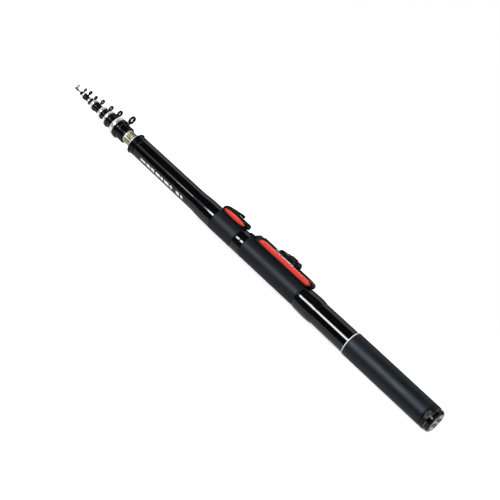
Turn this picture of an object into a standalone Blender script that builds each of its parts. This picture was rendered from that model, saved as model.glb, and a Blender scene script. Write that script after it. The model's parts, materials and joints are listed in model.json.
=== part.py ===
"""A telescopic boat rod, closed for carrying.

The rod's axis is the X axis: x = 0 is the end face of the butt cap and +X runs to the tip.
+Z is the side of the line guides and the reel seat, and the rod is alike on both sides of y = 0.
Eight sections nest in each other. Each inner section has a land at its base, a little wider than
the mouth of the section outside it, so it can be drawn out but not pulled off.
"""
import math

import bmesh
import bpy
import numpy as np
from mathutils import Vector

MM = 0.001

# Fits
GLUE_GAP = 0.2 * MM        # radial gap between a sleeve or ring and what it is glued on
FACE_GAP = 0.3 * MM        # gap between two faces that meet
SLIDE_FIT = 0.12 * MM      # radial play between a section and the one outside it
CATCH = 0.15 * MM          # how far a section's base land stands over the mouth that stops it
MERGE_DISTANCE = 0.01 * MM # points nearer than this become one
CUT_PAST = 4.0 * MM        # how far a cutter runs past the body it cuts
SMOOTH_ANGLE = 35.0        # degrees between faces up to which the shading is smooth

# Round pieces: number of facets round the axis. A multiple of 8 puts a flat facet underneath.
SIDES_LARGE = 24
SIDES_SMALL = 16
LARGE_TUBES = 3            # sections, from the outside, whose tubes have the larger number
LARGE_COLLARS = 4          # the same for their collars and rings

# Butt section
BUTT_LENGTH = 454.0 * MM       # cap end face to mouth
BUTT_RADIUS = 13.4 * MM        # glossy blank at the grip
WRAP_BLANK_RADIUS = 13.1 * MM  # blank behind the rear wrap
SEAT_BLANK_RADIUS = 12.3 * MM  # blank under the reel seat's sleeves
SHOULDER_RADIUS = 12.75 * MM   # blank at the middle of the taper ahead of the seat
TAPER_RADIUS = 11.8 * MM       # blank at the end of that taper
FRONT_RADIUS = 11.4 * MM       # blank at the mouth
SHOULDER_LENGTH = 17.0 * MM
TAPER_LENGTH = 30.0 * MM

# Grip and butt cap
CAP_LENGTH = 12.0 * MM
CAP_BUTTON_RADIUS = 13.4 * MM  # the cap's end, ahead of its groove
CAP_EDGE = 2.9 * MM            # rounding of that end's rim
GRIP_RADIUS = 14.05 * MM
GRIP_WALL = 0.45 * MM
GRIP_LENGTH = 107.2 * MM
TRIM_WIDTH = 1.0 * MM
TRIM_PROUD = 0.1 * MM
BADGE_RADIUS = 9.9 * MM
BADGE_DEPTH = 0.9 * MM
FERRULE_LENGTH = 12.0 * MM
FERRULE_WALL = 1.3 * MM
SPIGOT_LENGTH = 10.0 * MM      # the cap's screwed part inside the ferrule
SPIGOT_WALL = 1.4 * MM
THREAD_GAP = 0.25 * MM
BUFFER_DEPTH = 8.0 * MM        # how far the rubber buffer sits inside the spigot
BUFFER_PROUD = 2.0 * MM
O_RING_WIRE = 1.0 * MM
O_RING_SIDES = 8
CAP_GROOVE_START = 4.6 * MM    # the groove round the cap, between its end and its band
CAP_GROOVE_LENGTH = 0.9 * MM
CAP_GROOVE_DEPTH = 0.7 * MM

# Reel seat sleeves and wraps
SLEEVE_WALL = 0.5 * MM
REAR_WRAP_START = 168.0 * MM
REAR_WRAP_LENGTH = 23.0 * MM
REAR_WRAP_SWELL = 1.75 * MM     # how far the rear wrap stands over the sleeves' blank
REAR_SLEEVE_OVERHANG = 6.7 * MM  # how much longer the rear sleeve is than the rail
MIDDLE_WRAP_LENGTH = 12.0 * MM
MIDDLE_WRAP_WALL = 0.55 * MM
FRONT_SLEEVE_INSET = 3.6 * MM   # how much shorter the front sleeve is than the front saddle

# Reel seat
SEAT_HALF_WIDTH = 8.4 * MM
SEAT_CORNER = 5.5 * MM         # rounding of the seat's ends seen from above
FOOT_HALF_WIDTH = 6.5 * MM     # half the width of the channel for the reel's foot
FOOT_FLOOR = 16.8 * MM         # height over the axis of the two floors that the reel's foot rests on
SADDLE_LENGTH = 36.6 * MM
SADDLE_TOP = 18.7 * MM         # height of the front saddle's rims over the axis
SADDLE_NOSE = 15.0 * MM        # height of its front end
SADDLE_SLOPE_LENGTH = 9.0 * MM # from the nose to the level part of the saddle's top
SADDLE_KNEE = 0.4              # share of that length, and of its fall, at which it steepens
SADDLE_END_RADIUS = 4.0 * MM
SADDLE_OVERHANG = 1.7 * MM     # from the front saddle's rear end to the front sleeve
HOOD_LENGTH = 21.8 * MM
HOOD_TOP = 22.2 * MM
HOOD_WALL = 0.8 * MM
HOOD_SIDE_RADIUS = 2.5 * MM
HOOD_NOSE_WALL = 0.7 * MM
HOOD_POCKET_DEPTH = 13.0 * MM
# The front hood's roof: share of its length from the rear end, and share of its fall to the nose
HOOD_ROOF = ((0.0, 0.0), (0.12, 0.0), (0.41, 0.17), (0.66, 0.29), (0.85, 0.60), (1.0, 1.0))
RAIL_OVERHANG = 0.8 * MM       # how far the rail's rear end lies over the rear wrap
RAIL_LENGTH = 79.3 * MM
RAIL_TOP = 19.8 * MM
RAIL_RAMP = 6.5 * MM
RAIL_END_RADIUS = 4.5 * MM
RAIL_FOOT_LENGTH = 13.0 * MM
RAIL_FOOT_HALF_WIDTH = 5.0 * MM
RAIL_FOOT_TOP = 14.4 * MM
UNDERCUT_HEIGHT = 0.95 * MM    # the wider bottom of the rail's channel, which holds the runner's lips
UNDERCUT_DEPTH = 0.5 * MM
INLAY_THICKNESS = 0.6 * MM
INLAY_CLEAR = 0.5 * MM         # inlay cutters start this far from the plane y = 0
FRONT_INLAY_NOSE = 1.7 * MM    # from the front inlays to the front saddle's front end
FRONT_INLAY_HEIGHT = 5.3 * MM
FRONT_INLAY_MIDDLE = 14.8 * MM # height of the front inlays' middle line over the axis
FRONT_INLAY_REAR = 1.9 * MM    # from the front saddle's rear end to its inlays
LENS_FULLNESS = 0.6            # exponent of the front inlays' outline: lower is fuller at the ends
RAIL_INLAY_FRONT = 2.4 * MM    # from the rail inlays' front to the rail's ramp
RAIL_INLAY_HEIGHT = 5.8 * MM
RAIL_INLAY_MIDDLE = 15.7 * MM
RAIL_INLAY_REAR = 2.0 * MM

# Sliding hood
RUNNER_SETBACK = 28.8 * MM     # from the rail's rear end to the runner, as drawn
RUNNER_LENGTH = 27.0 * MM
RUNNER_WALL = 0.6 * MM
RUNNER_PLAY = 0.25 * MM
RUNNER_SKIRT = 1.7 * MM        # how far the runner's outer flanges hang below the rail's top
LIP_HEIGHT = 0.45 * MM
LIP_REACH = 0.3 * MM
PRONG_LENGTH = 10.0 * MM       # front stretch of the runner that is open on top
SLIDE_HOOD_OVERHANG = 1.8 * MM # how far the hood reaches behind the runner
SLIDE_HOOD_LENGTH = 25.6 * MM
SLIDE_HOOD_HEIGHT = 3.9 * MM   # the hood's front lip over the rail's top
SLIDE_HOOD_WALL = 0.9 * MM
SLIDE_SIDE_WALL = 0.8 * MM
SLIDE_SIDE_RADIUS = 4.0 * MM
SLIDE_CORNER = 2.6 * MM
SLIDE_SKIRT = 0.7 * MM         # how far the hood's sides hang below the rail's top
SLIDE_LIP_LENGTH = 4.5 * MM
SLIDE_DECK_HEIGHT = 2.1 * MM   # the hood's low middle over the rail's top
SLIDE_DECK_WALL = 0.6 * MM
STOP_HEIGHT = 5.4 * MM         # the hood's rear stop over the rail's top
STOP_LENGTH = 4.6 * MM
SLIDE_POCKET_DEPTH = 7.0 * MM
PIN_FROM_REAR = 15.0 * MM      # from the hood's rear end to the lever's pin
PIN_CLEAR = 0.35 * MM          # further play between the lever's hub and the hood's floor
PIN_RADIUS = 0.7 * MM
CHEEK_RADIUS = 1.7 * MM
CHEEK_WIDTH = 1.5 * MM
LEVER_HALF_WIDTH = 4.6 * MM
LEVER_LENGTH = 9.9 * MM        # pin to the lever's free end
LEVER_PAD_HEIGHT = 2.3 * MM    # the lever's top over its pin
LEVER_HUB = 1.5 * MM
LEVER_HUB_END = 40.0           # degrees round the pin at which the hub meets the pad
LEVER_RIBS = 3
RIB_DEPTH = 0.5 * MM

# Mouth of the butt
MOUTH_RING_LENGTH = 7.0 * MM
MOUTH_RING_WALL = 0.4 * MM
MOUTH_LIP_RADIUS = 12.6 * MM
MOUTH_LIP_LENGTH = 0.9 * MM

# Inner sections
BASE_GAP = 0.4 * MM            # from the buffer to the sections' bases
NECK_LENGTH = 15.0 * MM        # first section's metal sleeve, seen ahead of the mouth
NECK_WALL = 0.4 * MM
STACK_GAP = 0.8 * MM           # from an end ring to the next collar
END_STEP = 0.3 * MM            # how far a tube's end stands inside its end ring
LAND_CHAMFER = 1.0 * MM
BASE_WALL = 1.1 * MM           # greatest wall of a tube at its base

# One row for each of the seven inner sections, from the outside in, in millimetres: the tube's radius
# ahead of its base land and at its end, the lengths of its base land and of the mouth land that the
# next section stops at, the collar's length and radius, the guide's outer radius, wire thickness and
# height over the axis, where it stands along the collar (0 rear, 1 front), and the end ring's length
# and radius. The tip section's collar is the floating guide's, and it has no end ring.
SECTION_FIELDS = (
    "base_radius", "end_radius", "base_land", "mouth_land", "collar_length", "collar_radius",
    "guide_radius", "guide_wire", "guide_height", "guide_place", "ring_length", "ring_radius",
)
SECTION_ROWS = (
    (10.2, 6.75, 30.0, 15.0, 15.0, 11.2, 4.7, 1.6, 16.0, 0.56, 5.2, 10.9),
    (5.50, 5.25, 28.0, 14.0, 8.8, 9.1, 3.8, 1.4, 12.0, 0.44, 3.6, 9.1),
    (4.40, 4.20, 26.0, 13.0, 5.9, 6.7, 3.1, 1.2, 9.9, 0.50, 3.8, 7.1),
    (3.40, 3.25, 24.0, 12.0, 9.6, 5.8, 2.8, 1.1, 8.8, 0.56, 3.6, 6.0),
    (2.50, 2.40, 22.0, 11.0, 3.0, 4.1, 2.3, 1.0, 7.0, 0.40, 2.0, 4.5),
    (1.70, 1.60, 20.0, 10.0, 7.0, 3.6, 2.4, 1.0, 7.0, 0.60, 2.2, 3.8),
    (0.90, 0.60, 18.0, 0.0, 3.2, 2.4, 2.0, 0.8, 5.6, 0.40, 0.0, 0.0),
)
COLLAR_WAIST = 0.86            # radius of a collar's rear body over that of its front lip
COLLAR_LIP = 0.30              # share of a collar's length that its front lip takes
COLLAR_EASE = 0.3              # share of that lip that its eased edges take
COLLAR_DRAFT = 0.97            # radius at a collar's rear end over that of its body
END_RING_FRONT = 0.55          # share of an end ring's height over its bore that is left at its front
END_RING_SHOULDER = 0.3        # share of its fall at its shoulder
GUIDE_FIT = 0.12 * MM          # gap between a guide's frame and its ring
RING_SHARE = 0.5               # share of a guide's wire that the inner ring takes
RING_WIDTH = 0.8               # width of that ring over the wire's
LOOP_EASE = 0.25               # share of a loop's thickness that its eased edges take
LOOP_SIDES = 16
SMALL_LOOP_SIDES = 12
FOOT_WIDTH = 0.45              # half the width of a guide's foot over its loop's radius
FOOT_BITE = 0.35               # how far the foot runs into the loop, over the wire's thickness
FLOAT_BORE = 1.05 * MM         # bore radius of the floating guide's collar
TIP_STANDOFF = 5.0 * MM        # from the floating collar's front to the tip top
TIP_TOP_LENGTH = 5.0 * MM
TIP_TOP_RADIUS = 1.3 * MM
TIP_GUIDE_RADIUS = 1.9 * MM
TIP_GUIDE_WIRE = 0.8 * MM
TIP_GUIDE_HEIGHT = 3.3 * MM
TIP_NOSE = 0.7                 # radius at the tip top's front over its full radius
TIP_BLANK_INSET = 1.25 * MM    # how far the tip blank ends behind the tip top's front

# Colours (red, green, blue, linear), roughness and metallic value
FINISHES = {
    "lacquered_blank": ((0.006, 0.006, 0.007), 0.08, 0.0),
    "grip_rubber": ((0.013, 0.016, 0.019), 0.75, 0.0),
    "seat_coating": ((0.022, 0.023, 0.026), 0.6, 0.0),
    "wrap_varnish": ((0.008, 0.008, 0.010), 0.1, 0.0),
    "seat_plastic": ((0.010, 0.010, 0.012), 0.4, 0.0),
    "inlay_orange": ((0.88, 0.07, 0.035), 0.35, 0.0),
    "white_plastic": ((0.85, 0.85, 0.85), 0.4, 0.0),
    "black_metal": ((0.015, 0.015, 0.018), 0.25, 0.8),
    "bright_steel": ((0.75, 0.75, 0.76), 0.12, 1.0),
    "polished_aluminium": ((0.80, 0.80, 0.81), 0.1, 1.0),
    "champagne_metal": ((0.46, 0.38, 0.27), 0.25, 1.0),
    "guide_ceramic": ((0.02, 0.02, 0.024), 0.15, 0.0),
    "badge_metal": ((0.33, 0.37, 0.36), 0.3, 0.9),
    "black_rubber": ((0.012, 0.012, 0.012), 0.8, 0.0),
}


def section_sizes():
    """The rows above as one dictionary a section, in metres."""
    sections = []
    for row in SECTION_ROWS:
        sizes = dict(zip(SECTION_FIELDS, row))
        place = sizes.pop("guide_place")
        sizes = {field: value * MM for field, value in sizes.items()}
        sizes["guide_place"] = place
        sections.append(sizes)
    return sections


SECTIONS = section_sizes()


def mouth_bore(index):
    """Bore radius at the mouth that section `index` passes: its own radius and the play."""
    return SECTIONS[index]["base_radius"] + SLIDE_FIT


def land_radius(index):
    """Radius of section `index`'s base land, which the mouth outside it stops."""
    return mouth_bore(index) + CATCH


def wide_bore(index):
    """Bore radius behind the mouth land, where section `index`'s base land slides."""
    return land_radius(index) + SLIDE_FIT


# Places along the axis that follow from the sizes above
GRIP_START = CAP_LENGTH + FACE_GAP
GRIP_END = GRIP_START + GRIP_LENGTH
REAR_WRAP_END = REAR_WRAP_START + REAR_WRAP_LENGTH
REAR_SLEEVE_START = REAR_WRAP_END + FACE_GAP
REAR_SLEEVE_END = REAR_SLEEVE_START + RAIL_LENGTH + REAR_SLEEVE_OVERHANG
MIDDLE_WRAP_START = REAR_SLEEVE_END + FACE_GAP
MIDDLE_WRAP_END = MIDDLE_WRAP_START + MIDDLE_WRAP_LENGTH
FRONT_SLEEVE_START = MIDDLE_WRAP_END + FACE_GAP
FRONT_SLEEVE_END = FRONT_SLEEVE_START + SADDLE_LENGTH - FRONT_SLEEVE_INSET
SLEEVE_RADIUS = SEAT_BLANK_RADIUS + GLUE_GAP + SLEEVE_WALL
SEAT_UNDERSIDE = SLEEVE_RADIUS + FACE_GAP
FERRULE_BORE = wide_bore(0) + THREAD_GAP
FERRULE_RADIUS = FERRULE_BORE + FERRULE_WALL
SPIGOT_RADIUS = FERRULE_BORE - THREAD_GAP
SPIGOT_BORE = SPIGOT_RADIUS - SPIGOT_WALL
SPIGOT_END = GRIP_START + SPIGOT_LENGTH
BUFFER_END = SPIGOT_END + BUFFER_PROUD
SECTION_BASE = BUFFER_END + BASE_GAP
RAIL_START = REAR_WRAP_END - RAIL_OVERHANG
RAIL_END = RAIL_START + RAIL_LENGTH
SADDLE_START = FRONT_SLEEVE_START - SADDLE_OVERHANG
SADDLE_END = SADDLE_START + SADDLE_LENGTH
HOOD_START = SADDLE_END - HOOD_LENGTH
RUNNER_START = RAIL_START + RUNNER_SETBACK
RUNNER_END = RUNNER_START + RUNNER_LENGTH
RUNNER_DECK = RAIL_TOP + RUNNER_PLAY
SLIDE_HOOD_START = RUNNER_START - SLIDE_HOOD_OVERHANG
SLIDE_HOOD_END = SLIDE_HOOD_START + SLIDE_HOOD_LENGTH
SLIDE_HOOD_TOP = RAIL_TOP + SLIDE_HOOD_HEIGHT
SLIDE_DECK_TOP = RAIL_TOP + SLIDE_DECK_HEIGHT
STOP_TOP = RAIL_TOP + STOP_HEIGHT
HOOD_FLOOR = RUNNER_DECK + RUNNER_WALL + FACE_GAP
LEVER_UNDERSIDE = HOOD_FLOOR + SLIDE_DECK_WALL + FACE_GAP
PIN_X = SLIDE_HOOD_START + PIN_FROM_REAR
PIN_HEIGHT = LEVER_UNDERSIDE + LEVER_HUB + PIN_CLEAR
LEVER_TOP = PIN_HEIGHT + LEVER_PAD_HEIGHT


def stack_places():
    """Where each section's collar and end ring lie: one behind the other, ahead of the mouth."""
    places = []
    x = BUTT_LENGTH + NECK_LENGTH
    for sizes in SECTIONS:
        collar_start = x
        collar_end = collar_start + sizes["collar_length"]
        ring_start = collar_end + FACE_GAP
        ring_end = ring_start + sizes["ring_length"]
        places.append({"collar": (collar_start, collar_end), "ring": (ring_start, ring_end)})
        x = ring_end + STACK_GAP
    return places


PLACES = stack_places()
TIP_TOP_START = PLACES[-1]["collar"][1] + TIP_STANDOFF
TIP_TOP_END = TIP_TOP_START + TIP_TOP_LENGTH


def section_travels():
    """How far each section slides out: its base land stops at the mouth land outside it."""
    travels = []
    mouth = BUTT_LENGTH
    mouth_land = SECTIONS[0]["mouth_land"]
    for index, sizes in enumerate(SECTIONS):
        land_front = SECTION_BASE + sizes["base_land"] + LAND_CHAMFER
        stop = mouth - mouth_land - LAND_CHAMFER - FACE_GAP
        travels.append(stop - land_front)
        mouth = PLACES[index]["ring"][1] - END_STEP
        mouth_land = sizes["mouth_land"]
    return travels


# Scene, collections and materials

def empty_scene():
    for old in list(bpy.data.objects):
        bpy.data.objects.remove(old, do_unlink=True)


def new_collection(name):
    collection = bpy.data.collections.new(name)
    bpy.context.scene.collection.children.link(collection)
    return collection


def make_materials():
    """One Principled material for each finish."""
    materials = {}
    for name, (colour, roughness, metallic) in FINISHES.items():
        material = bpy.data.materials.new(name)
        material.use_nodes = True
        shader = material.node_tree.nodes["Principled BSDF"]
        shader.inputs["Base Color"].default_value = (*colour, 1.0)
        shader.inputs["Roughness"].default_value = roughness
        shader.inputs["Metallic"].default_value = metallic
        materials[name] = material
    return materials


empty_scene()
ROD = new_collection("boat_rod")
CUTTERS = new_collection("cutters")
MATERIALS = make_materials()


def finish_piece(obj, finish, parent=None):
    """Gives an object its material and parent, keeps it where it lies, and shades it smooth."""
    obj.data.materials.clear()
    obj.data.materials.append(MATERIALS[finish])
    if parent is not None:
        obj.parent = parent
        obj.matrix_parent_inverse = parent.matrix_world.inverted()
    obj.data.shade_smooth()
    obj.data.set_sharp_from_angle(angle=math.radians(SMOOTH_ANGLE))
    return obj


def empty_at(name, x, z=0.0, parent=None):
    """An empty on a joint's axis, which the moving pieces hang from."""
    empty = bpy.data.objects.new(name, None)
    empty.location = (x, 0.0, z)
    ROD.objects.link(empty)
    bpy.context.view_layer.update()
    if parent is not None:
        empty.parent = parent
        empty.matrix_parent_inverse = parent.matrix_world.inverted()
        bpy.context.view_layer.update()
    return empty


# Shapes

def turned(name, profile, sides, collection=None, hollow=True):
    """A body turned about the X axis from a profile of (x, radius) points.

    A hollow body's profile is a closed loop, from front to back along the outside and back along the
    bore. A solid body's profile starts and ends on the axis. The turn starts half a facet round from
    the bottom, so that a flat facet and not an edge lies underneath.
    """
    mesh = bpy.data.meshes.new(name)
    bm = bmesh.new()
    start = math.pi / sides
    points = [bm.verts.new((r * math.cos(start), r * math.sin(start), x)) for x, r in profile]
    ends = points[1:] + points[:1] if hollow else points[1:]
    for first, second in zip(points, ends):
        bm.edges.new((first, second))
    bm.to_mesh(mesh)
    bm.free()
    obj = bpy.data.objects.new(name, mesh)
    (collection or ROD).objects.link(obj)
    screw = obj.modifiers.new("turn", "SCREW")
    screw.axis = "Z"
    screw.steps = sides
    screw.render_steps = sides
    screw.use_merge_vertices = True
    screw.merge_threshold = MERGE_DISTANCE
    obj.rotation_euler = (0.0, math.pi / 2.0, 0.0)
    return obj


PRISM_TURNS = {
    "X": (math.pi / 2.0, 0.0, math.pi / 2.0),   # outline in (y, z), extruded along X
    "Y": (math.pi / 2.0, 0.0, 0.0),             # outline in (x, z), extruded along Y
    "Z": (0.0, 0.0, 0.0),                       # outline in (x, y), extruded along Z
}


def prism(name, outline, axis, low, high, collection=None):
    """A flat outline extruded along an axis from low to high: a 2D curve made into a mesh."""
    curve = bpy.data.curves.new(name + "_outline", "CURVE")
    curve.dimensions = "2D"
    curve.fill_mode = "BOTH"
    curve.extrude = (high - low) / 2.0
    spline = curve.splines.new("POLY")
    spline.points.add(len(outline) - 1)
    for point, (u, v) in zip(spline.points, outline):
        point.co = (u, v, 0.0, 1.0)
    spline.use_cyclic_u = True
    middle = (low + high) / 2.0
    drawn = bpy.data.objects.new(name + "_outline", curve)
    drawn.rotation_euler = PRISM_TURNS[axis]
    drawn.location = {"X": (middle, 0, 0), "Y": (0, middle, 0), "Z": (0, 0, middle)}[axis]
    bpy.context.scene.collection.objects.link(drawn)
    graph = bpy.context.evaluated_depsgraph_get()
    mesh = bpy.data.meshes.new_from_object(drawn.evaluated_get(graph))
    mesh.name = name
    bm = bmesh.new()
    bm.from_mesh(mesh)
    bmesh.ops.remove_doubles(bm, verts=bm.verts, dist=MERGE_DISTANCE / 10.0)
    bmesh.ops.recalc_face_normals(bm, faces=bm.faces)
    bm.to_mesh(mesh)
    bm.free()
    obj = bpy.data.objects.new(name, mesh)
    obj.matrix_world = drawn.matrix_world
    bpy.data.objects.remove(drawn, do_unlink=True)
    (collection or ROD).objects.link(obj)
    return obj


def block(name, low, high):
    """A box cutter between two corners."""
    mesh = bpy.data.meshes.new(name)
    bm = bmesh.new()
    bmesh.ops.create_cube(bm, size=1.0)
    size = Vector(high) - Vector(low)
    middle = (Vector(high) + Vector(low)) / 2.0
    for vertex in bm.verts:
        vertex.co = Vector(a * b for a, b in zip(vertex.co, size))
    bm.to_mesh(mesh)
    bm.free()
    obj = bpy.data.objects.new(name, mesh)
    obj.location = middle
    CUTTERS.objects.link(obj)
    return obj


def rod_bar(name, radius, x, z, half_length, sides, collection):
    """A round bar along Y."""
    mesh = bpy.data.meshes.new(name)
    bm = bmesh.new()
    bmesh.ops.create_cone(
        bm, cap_ends=True, segments=sides, radius1=radius, radius2=radius, depth=2.0 * half_length
    )
    bm.to_mesh(mesh)
    bm.free()
    obj = bpy.data.objects.new(name, mesh)
    obj.rotation_euler = (math.pi / 2.0, 0.0, 0.0)
    obj.location = (x, 0.0, z)
    collection.objects.link(obj)
    return obj


def combine(obj, other, operation):
    """A Boolean modifier on obj; the other object becomes a hidden cutter."""
    modifier = obj.modifiers.new(operation.lower() + "_" + other.name, "BOOLEAN")
    modifier.operation = operation
    modifier.solver = "EXACT"
    modifier.object = other
    other.hide_render = True
    other.display_type = "WIRE"
    return obj


def arc(centre, radius, start, end, count):
    """Points on an arc, angles in degrees."""
    points = []
    for step in range(count + 1):
        angle = math.radians(start + (end - start) * step / count)
        points.append((centre[0] + radius * math.cos(angle), centre[1] + radius * math.sin(angle)))
    return points


def rounded_plan(x_low, x_high, half_width, corner):
    """A rectangle about the X axis with four round corners, seen from above."""
    outline = arc((x_high - corner, half_width - corner), corner, 0, 90, 4)
    outline += arc((x_low + corner, half_width - corner), corner, 90, 180, 4)
    outline += arc((x_low + corner, -half_width + corner), corner, 180, 270, 4)
    outline += arc((x_high - corner, -half_width + corner), corner, 270, 360, 4)
    return outline


def lens(x_low, x_high, middle, height, steps=10):
    """An outline with pointed ends and two full sides."""
    half = (x_high - x_low) / 2.0
    centre = (x_high + x_low) / 2.0
    top = []
    for step in range(steps + 1):
        t = -math.cos(math.pi * step / steps)
        top.append((centre + half * t, middle + height / 2.0 * (1.0 - t * t) ** LENS_FULLNESS))
    bottom = [(x, 2.0 * middle - z) for x, z in reversed(top[1:-1])]
    return top + bottom


def slot_outline(x_low, x_high, middle, height):
    """A bar with a round end at each side."""
    radius = height / 2.0
    outline = arc((x_high - radius, middle), radius, -90, 90, 6)
    outline += arc((x_low + radius, middle), radius, 90, 270, 6)
    return outline


def arch_outline(half_width, top, radius):
    """A cross-section with upright sides and two round top corners, from height 0, in (y, z)."""
    centre = half_width - radius
    outline = [(half_width, 0.0)]
    outline += arc((centre, top - radius), radius, 0, 90, 3)
    outline += arc((-centre, top - radius), radius, 90, 180, 3)
    outline.append((-half_width, 0.0))
    return outline


def tube_profile(x_low, x_high, outer, inner):
    """A plain tube's profile; outer and inner are its radii."""
    return [(x_high, outer), (x_low, outer), (x_low, inner), (x_high, inner)]


# Butt section

def make_butt_blank():
    bore = wide_bore(0)
    mouth = mouth_bore(0)
    land = SECTIONS[0]["mouth_land"]
    ferrule_seat = FERRULE_RADIUS + GLUE_GAP
    ferrule_end = GRIP_START + FERRULE_LENGTH + FACE_GAP
    taper_start = FRONT_SLEEVE_END + FACE_GAP
    rebate = BUTT_LENGTH - MOUTH_RING_LENGTH - FACE_GAP
    profile = [
        (BUTT_LENGTH, FRONT_RADIUS - MOUTH_RING_WALL - GLUE_GAP),
        (rebate, FRONT_RADIUS - MOUTH_RING_WALL - GLUE_GAP),
        (rebate, FRONT_RADIUS),
        (taper_start + TAPER_LENGTH, TAPER_RADIUS),
        (taper_start + SHOULDER_LENGTH, SHOULDER_RADIUS),
        (taper_start, SLEEVE_RADIUS),
        (taper_start, SEAT_BLANK_RADIUS),
        (REAR_WRAP_START + REAR_WRAP_LENGTH / 2.0, SEAT_BLANK_RADIUS),
        (REAR_WRAP_START - FACE_GAP, WRAP_BLANK_RADIUS),
        (GRIP_END + TRIM_WIDTH, BUTT_RADIUS),
        (GRIP_START, BUTT_RADIUS),
        (GRIP_START, ferrule_seat),
        (ferrule_end, ferrule_seat),
        (ferrule_end, bore),
        (BUTT_LENGTH - land - LAND_CHAMFER, bore),
        (BUTT_LENGTH - land, mouth),
        (BUTT_LENGTH, mouth),
    ]
    return finish_piece(turned("butt_blank", profile, SIDES_LARGE), "lacquered_blank")


def make_mouth_ring():
    """The black ring let into the butt's end, with a thin lip ahead of it."""
    inner = FRONT_RADIUS - MOUTH_RING_WALL
    shell = FRONT_RADIUS
    lip_start = BUTT_LENGTH + FACE_GAP
    profile = [
        (lip_start + MOUTH_LIP_LENGTH, MOUTH_LIP_RADIUS - MOUTH_LIP_LENGTH / 3.0),
        (lip_start + MOUTH_LIP_LENGTH * 2.0 / 3.0, MOUTH_LIP_RADIUS),
        (lip_start, MOUTH_LIP_RADIUS),
        (lip_start - MOUTH_LIP_LENGTH, shell),
        (BUTT_LENGTH - MOUTH_RING_LENGTH, shell),
        (BUTT_LENGTH - MOUTH_RING_LENGTH, inner),
        (lip_start, inner),
        (lip_start, mouth_bore(0)),
        (lip_start + MOUTH_LIP_LENGTH, mouth_bore(0)),
    ]
    return finish_piece(turned("mouth_ring", profile, SIDES_LARGE), "black_metal")


def make_grip():
    inner = GRIP_RADIUS - GRIP_WALL
    grip = turned("rear_grip", tube_profile(GRIP_START, GRIP_END, GRIP_RADIUS, inner), SIDES_LARGE)
    finish_piece(grip, "grip_rubber")
    trim_start = GRIP_END + FACE_GAP
    profile = tube_profile(trim_start, trim_start + TRIM_WIDTH, GRIP_RADIUS + TRIM_PROUD, inner)
    finish_piece(turned("grip_trim_ring", profile, SIDES_LARGE), "white_plastic")


def make_ferrule():
    """The ring glued into the blank's end, which the cap screws into; the O-ring lies ahead of it."""
    start = CAP_LENGTH + O_RING_WIRE + 2.0 * FACE_GAP
    end = GRIP_START + FERRULE_LENGTH
    profile = tube_profile(start, end, FERRULE_RADIUS, FERRULE_BORE)
    return finish_piece(turned("butt_ferrule", profile, SIDES_LARGE), "black_metal")


def make_wraps_and_sleeves():
    """The glossy swelling behind the seat, the two matte sleeves and the glossy band between them."""
    blank = SEAT_BLANK_RADIUS
    swell = blank + REAR_WRAP_SWELL
    inner_front = blank + GLUE_GAP
    middle = REAR_WRAP_START + REAR_WRAP_LENGTH / 2.0
    inner_rear = WRAP_BLANK_RADIUS + GLUE_GAP
    quarter = REAR_WRAP_LENGTH / 4.0
    profile = [
        (REAR_WRAP_END, SLEEVE_RADIUS),
        (middle + quarter, swell),
        (middle - quarter, swell),
        (REAR_WRAP_START, inner_rear + GLUE_GAP),
        (REAR_WRAP_START, inner_rear),
        (middle, inner_front),
        (REAR_WRAP_END, inner_front),
    ]
    finish_piece(turned("rear_wrap", profile, SIDES_LARGE), "wrap_varnish")
    for name, start, end in (
        ("rear_seat_sleeve", REAR_SLEEVE_START, REAR_SLEEVE_END),
        ("front_seat_sleeve", FRONT_SLEEVE_START, FRONT_SLEEVE_END),
    ):
        profile = tube_profile(start, end, SLEEVE_RADIUS, inner_front)
        finish_piece(turned(name, profile, SIDES_LARGE), "seat_coating")
    profile = tube_profile(
        MIDDLE_WRAP_START, MIDDLE_WRAP_END, inner_front + MIDDLE_WRAP_WALL, inner_front
    )
    finish_piece(turned("middle_wrap", profile, SIDES_LARGE), "wrap_varnish")


# Reel seat, fixed pieces

def seat_bed(name):
    """The round body that every seat piece is cut to, so that it beds on the sleeves."""
    low = RAIL_START - CUT_PAST
    high = SADDLE_END + CUT_PAST
    profile = [(high, 0.0), (high, SEAT_UNDERSIDE), (low, SEAT_UNDERSIDE), (low, 0.0)]
    return turned(name, profile, SIDES_LARGE, CUTTERS, hollow=False)


def inlay_span(side):
    """From where to where along Y the cutters and blanks for one side's inlay run."""
    reach = SEAT_HALF_WIDTH + CUT_PAST
    return (INLAY_CLEAR, reach) if side > 0 else (-reach, -INLAY_CLEAR)


def inlay_cutter(name, outline, plan, side, z_low, z_high):
    """What the recess for an inlay removes: an outline in the side wall, as deep as the inlay."""
    span = inlay_span(side)
    cutter = prism(name, outline, "Y", span[0], span[1], CUTTERS)
    core = prism(name + "_core", plan, "Z", z_low, z_high, CUTTERS)
    return combine(cutter, core, "DIFFERENCE")


def make_inlay(name, outline, plan_outer, plan_inner, side, z_low, z_high):
    """A thin inlay that follows the seat's side wall."""
    span = inlay_span(side)
    inlay = prism(name, outline, "Y", span[0], span[1])
    combine(inlay, prism(name + "_outer", plan_outer, "Z", z_low, z_high, CUTTERS), "INTERSECT")
    combine(inlay, prism(name + "_inner", plan_inner, "Z", z_low, z_high, CUTTERS), "DIFFERENCE")
    return finish_piece(inlay, "inlay_orange")


def inset_plan(x_low, x_high, inset):
    """The seat's plan drawn in by an inset all round."""
    return rounded_plan(x_low + inset, x_high - inset, SEAT_HALF_WIDTH - inset, SEAT_CORNER - inset)


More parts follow.
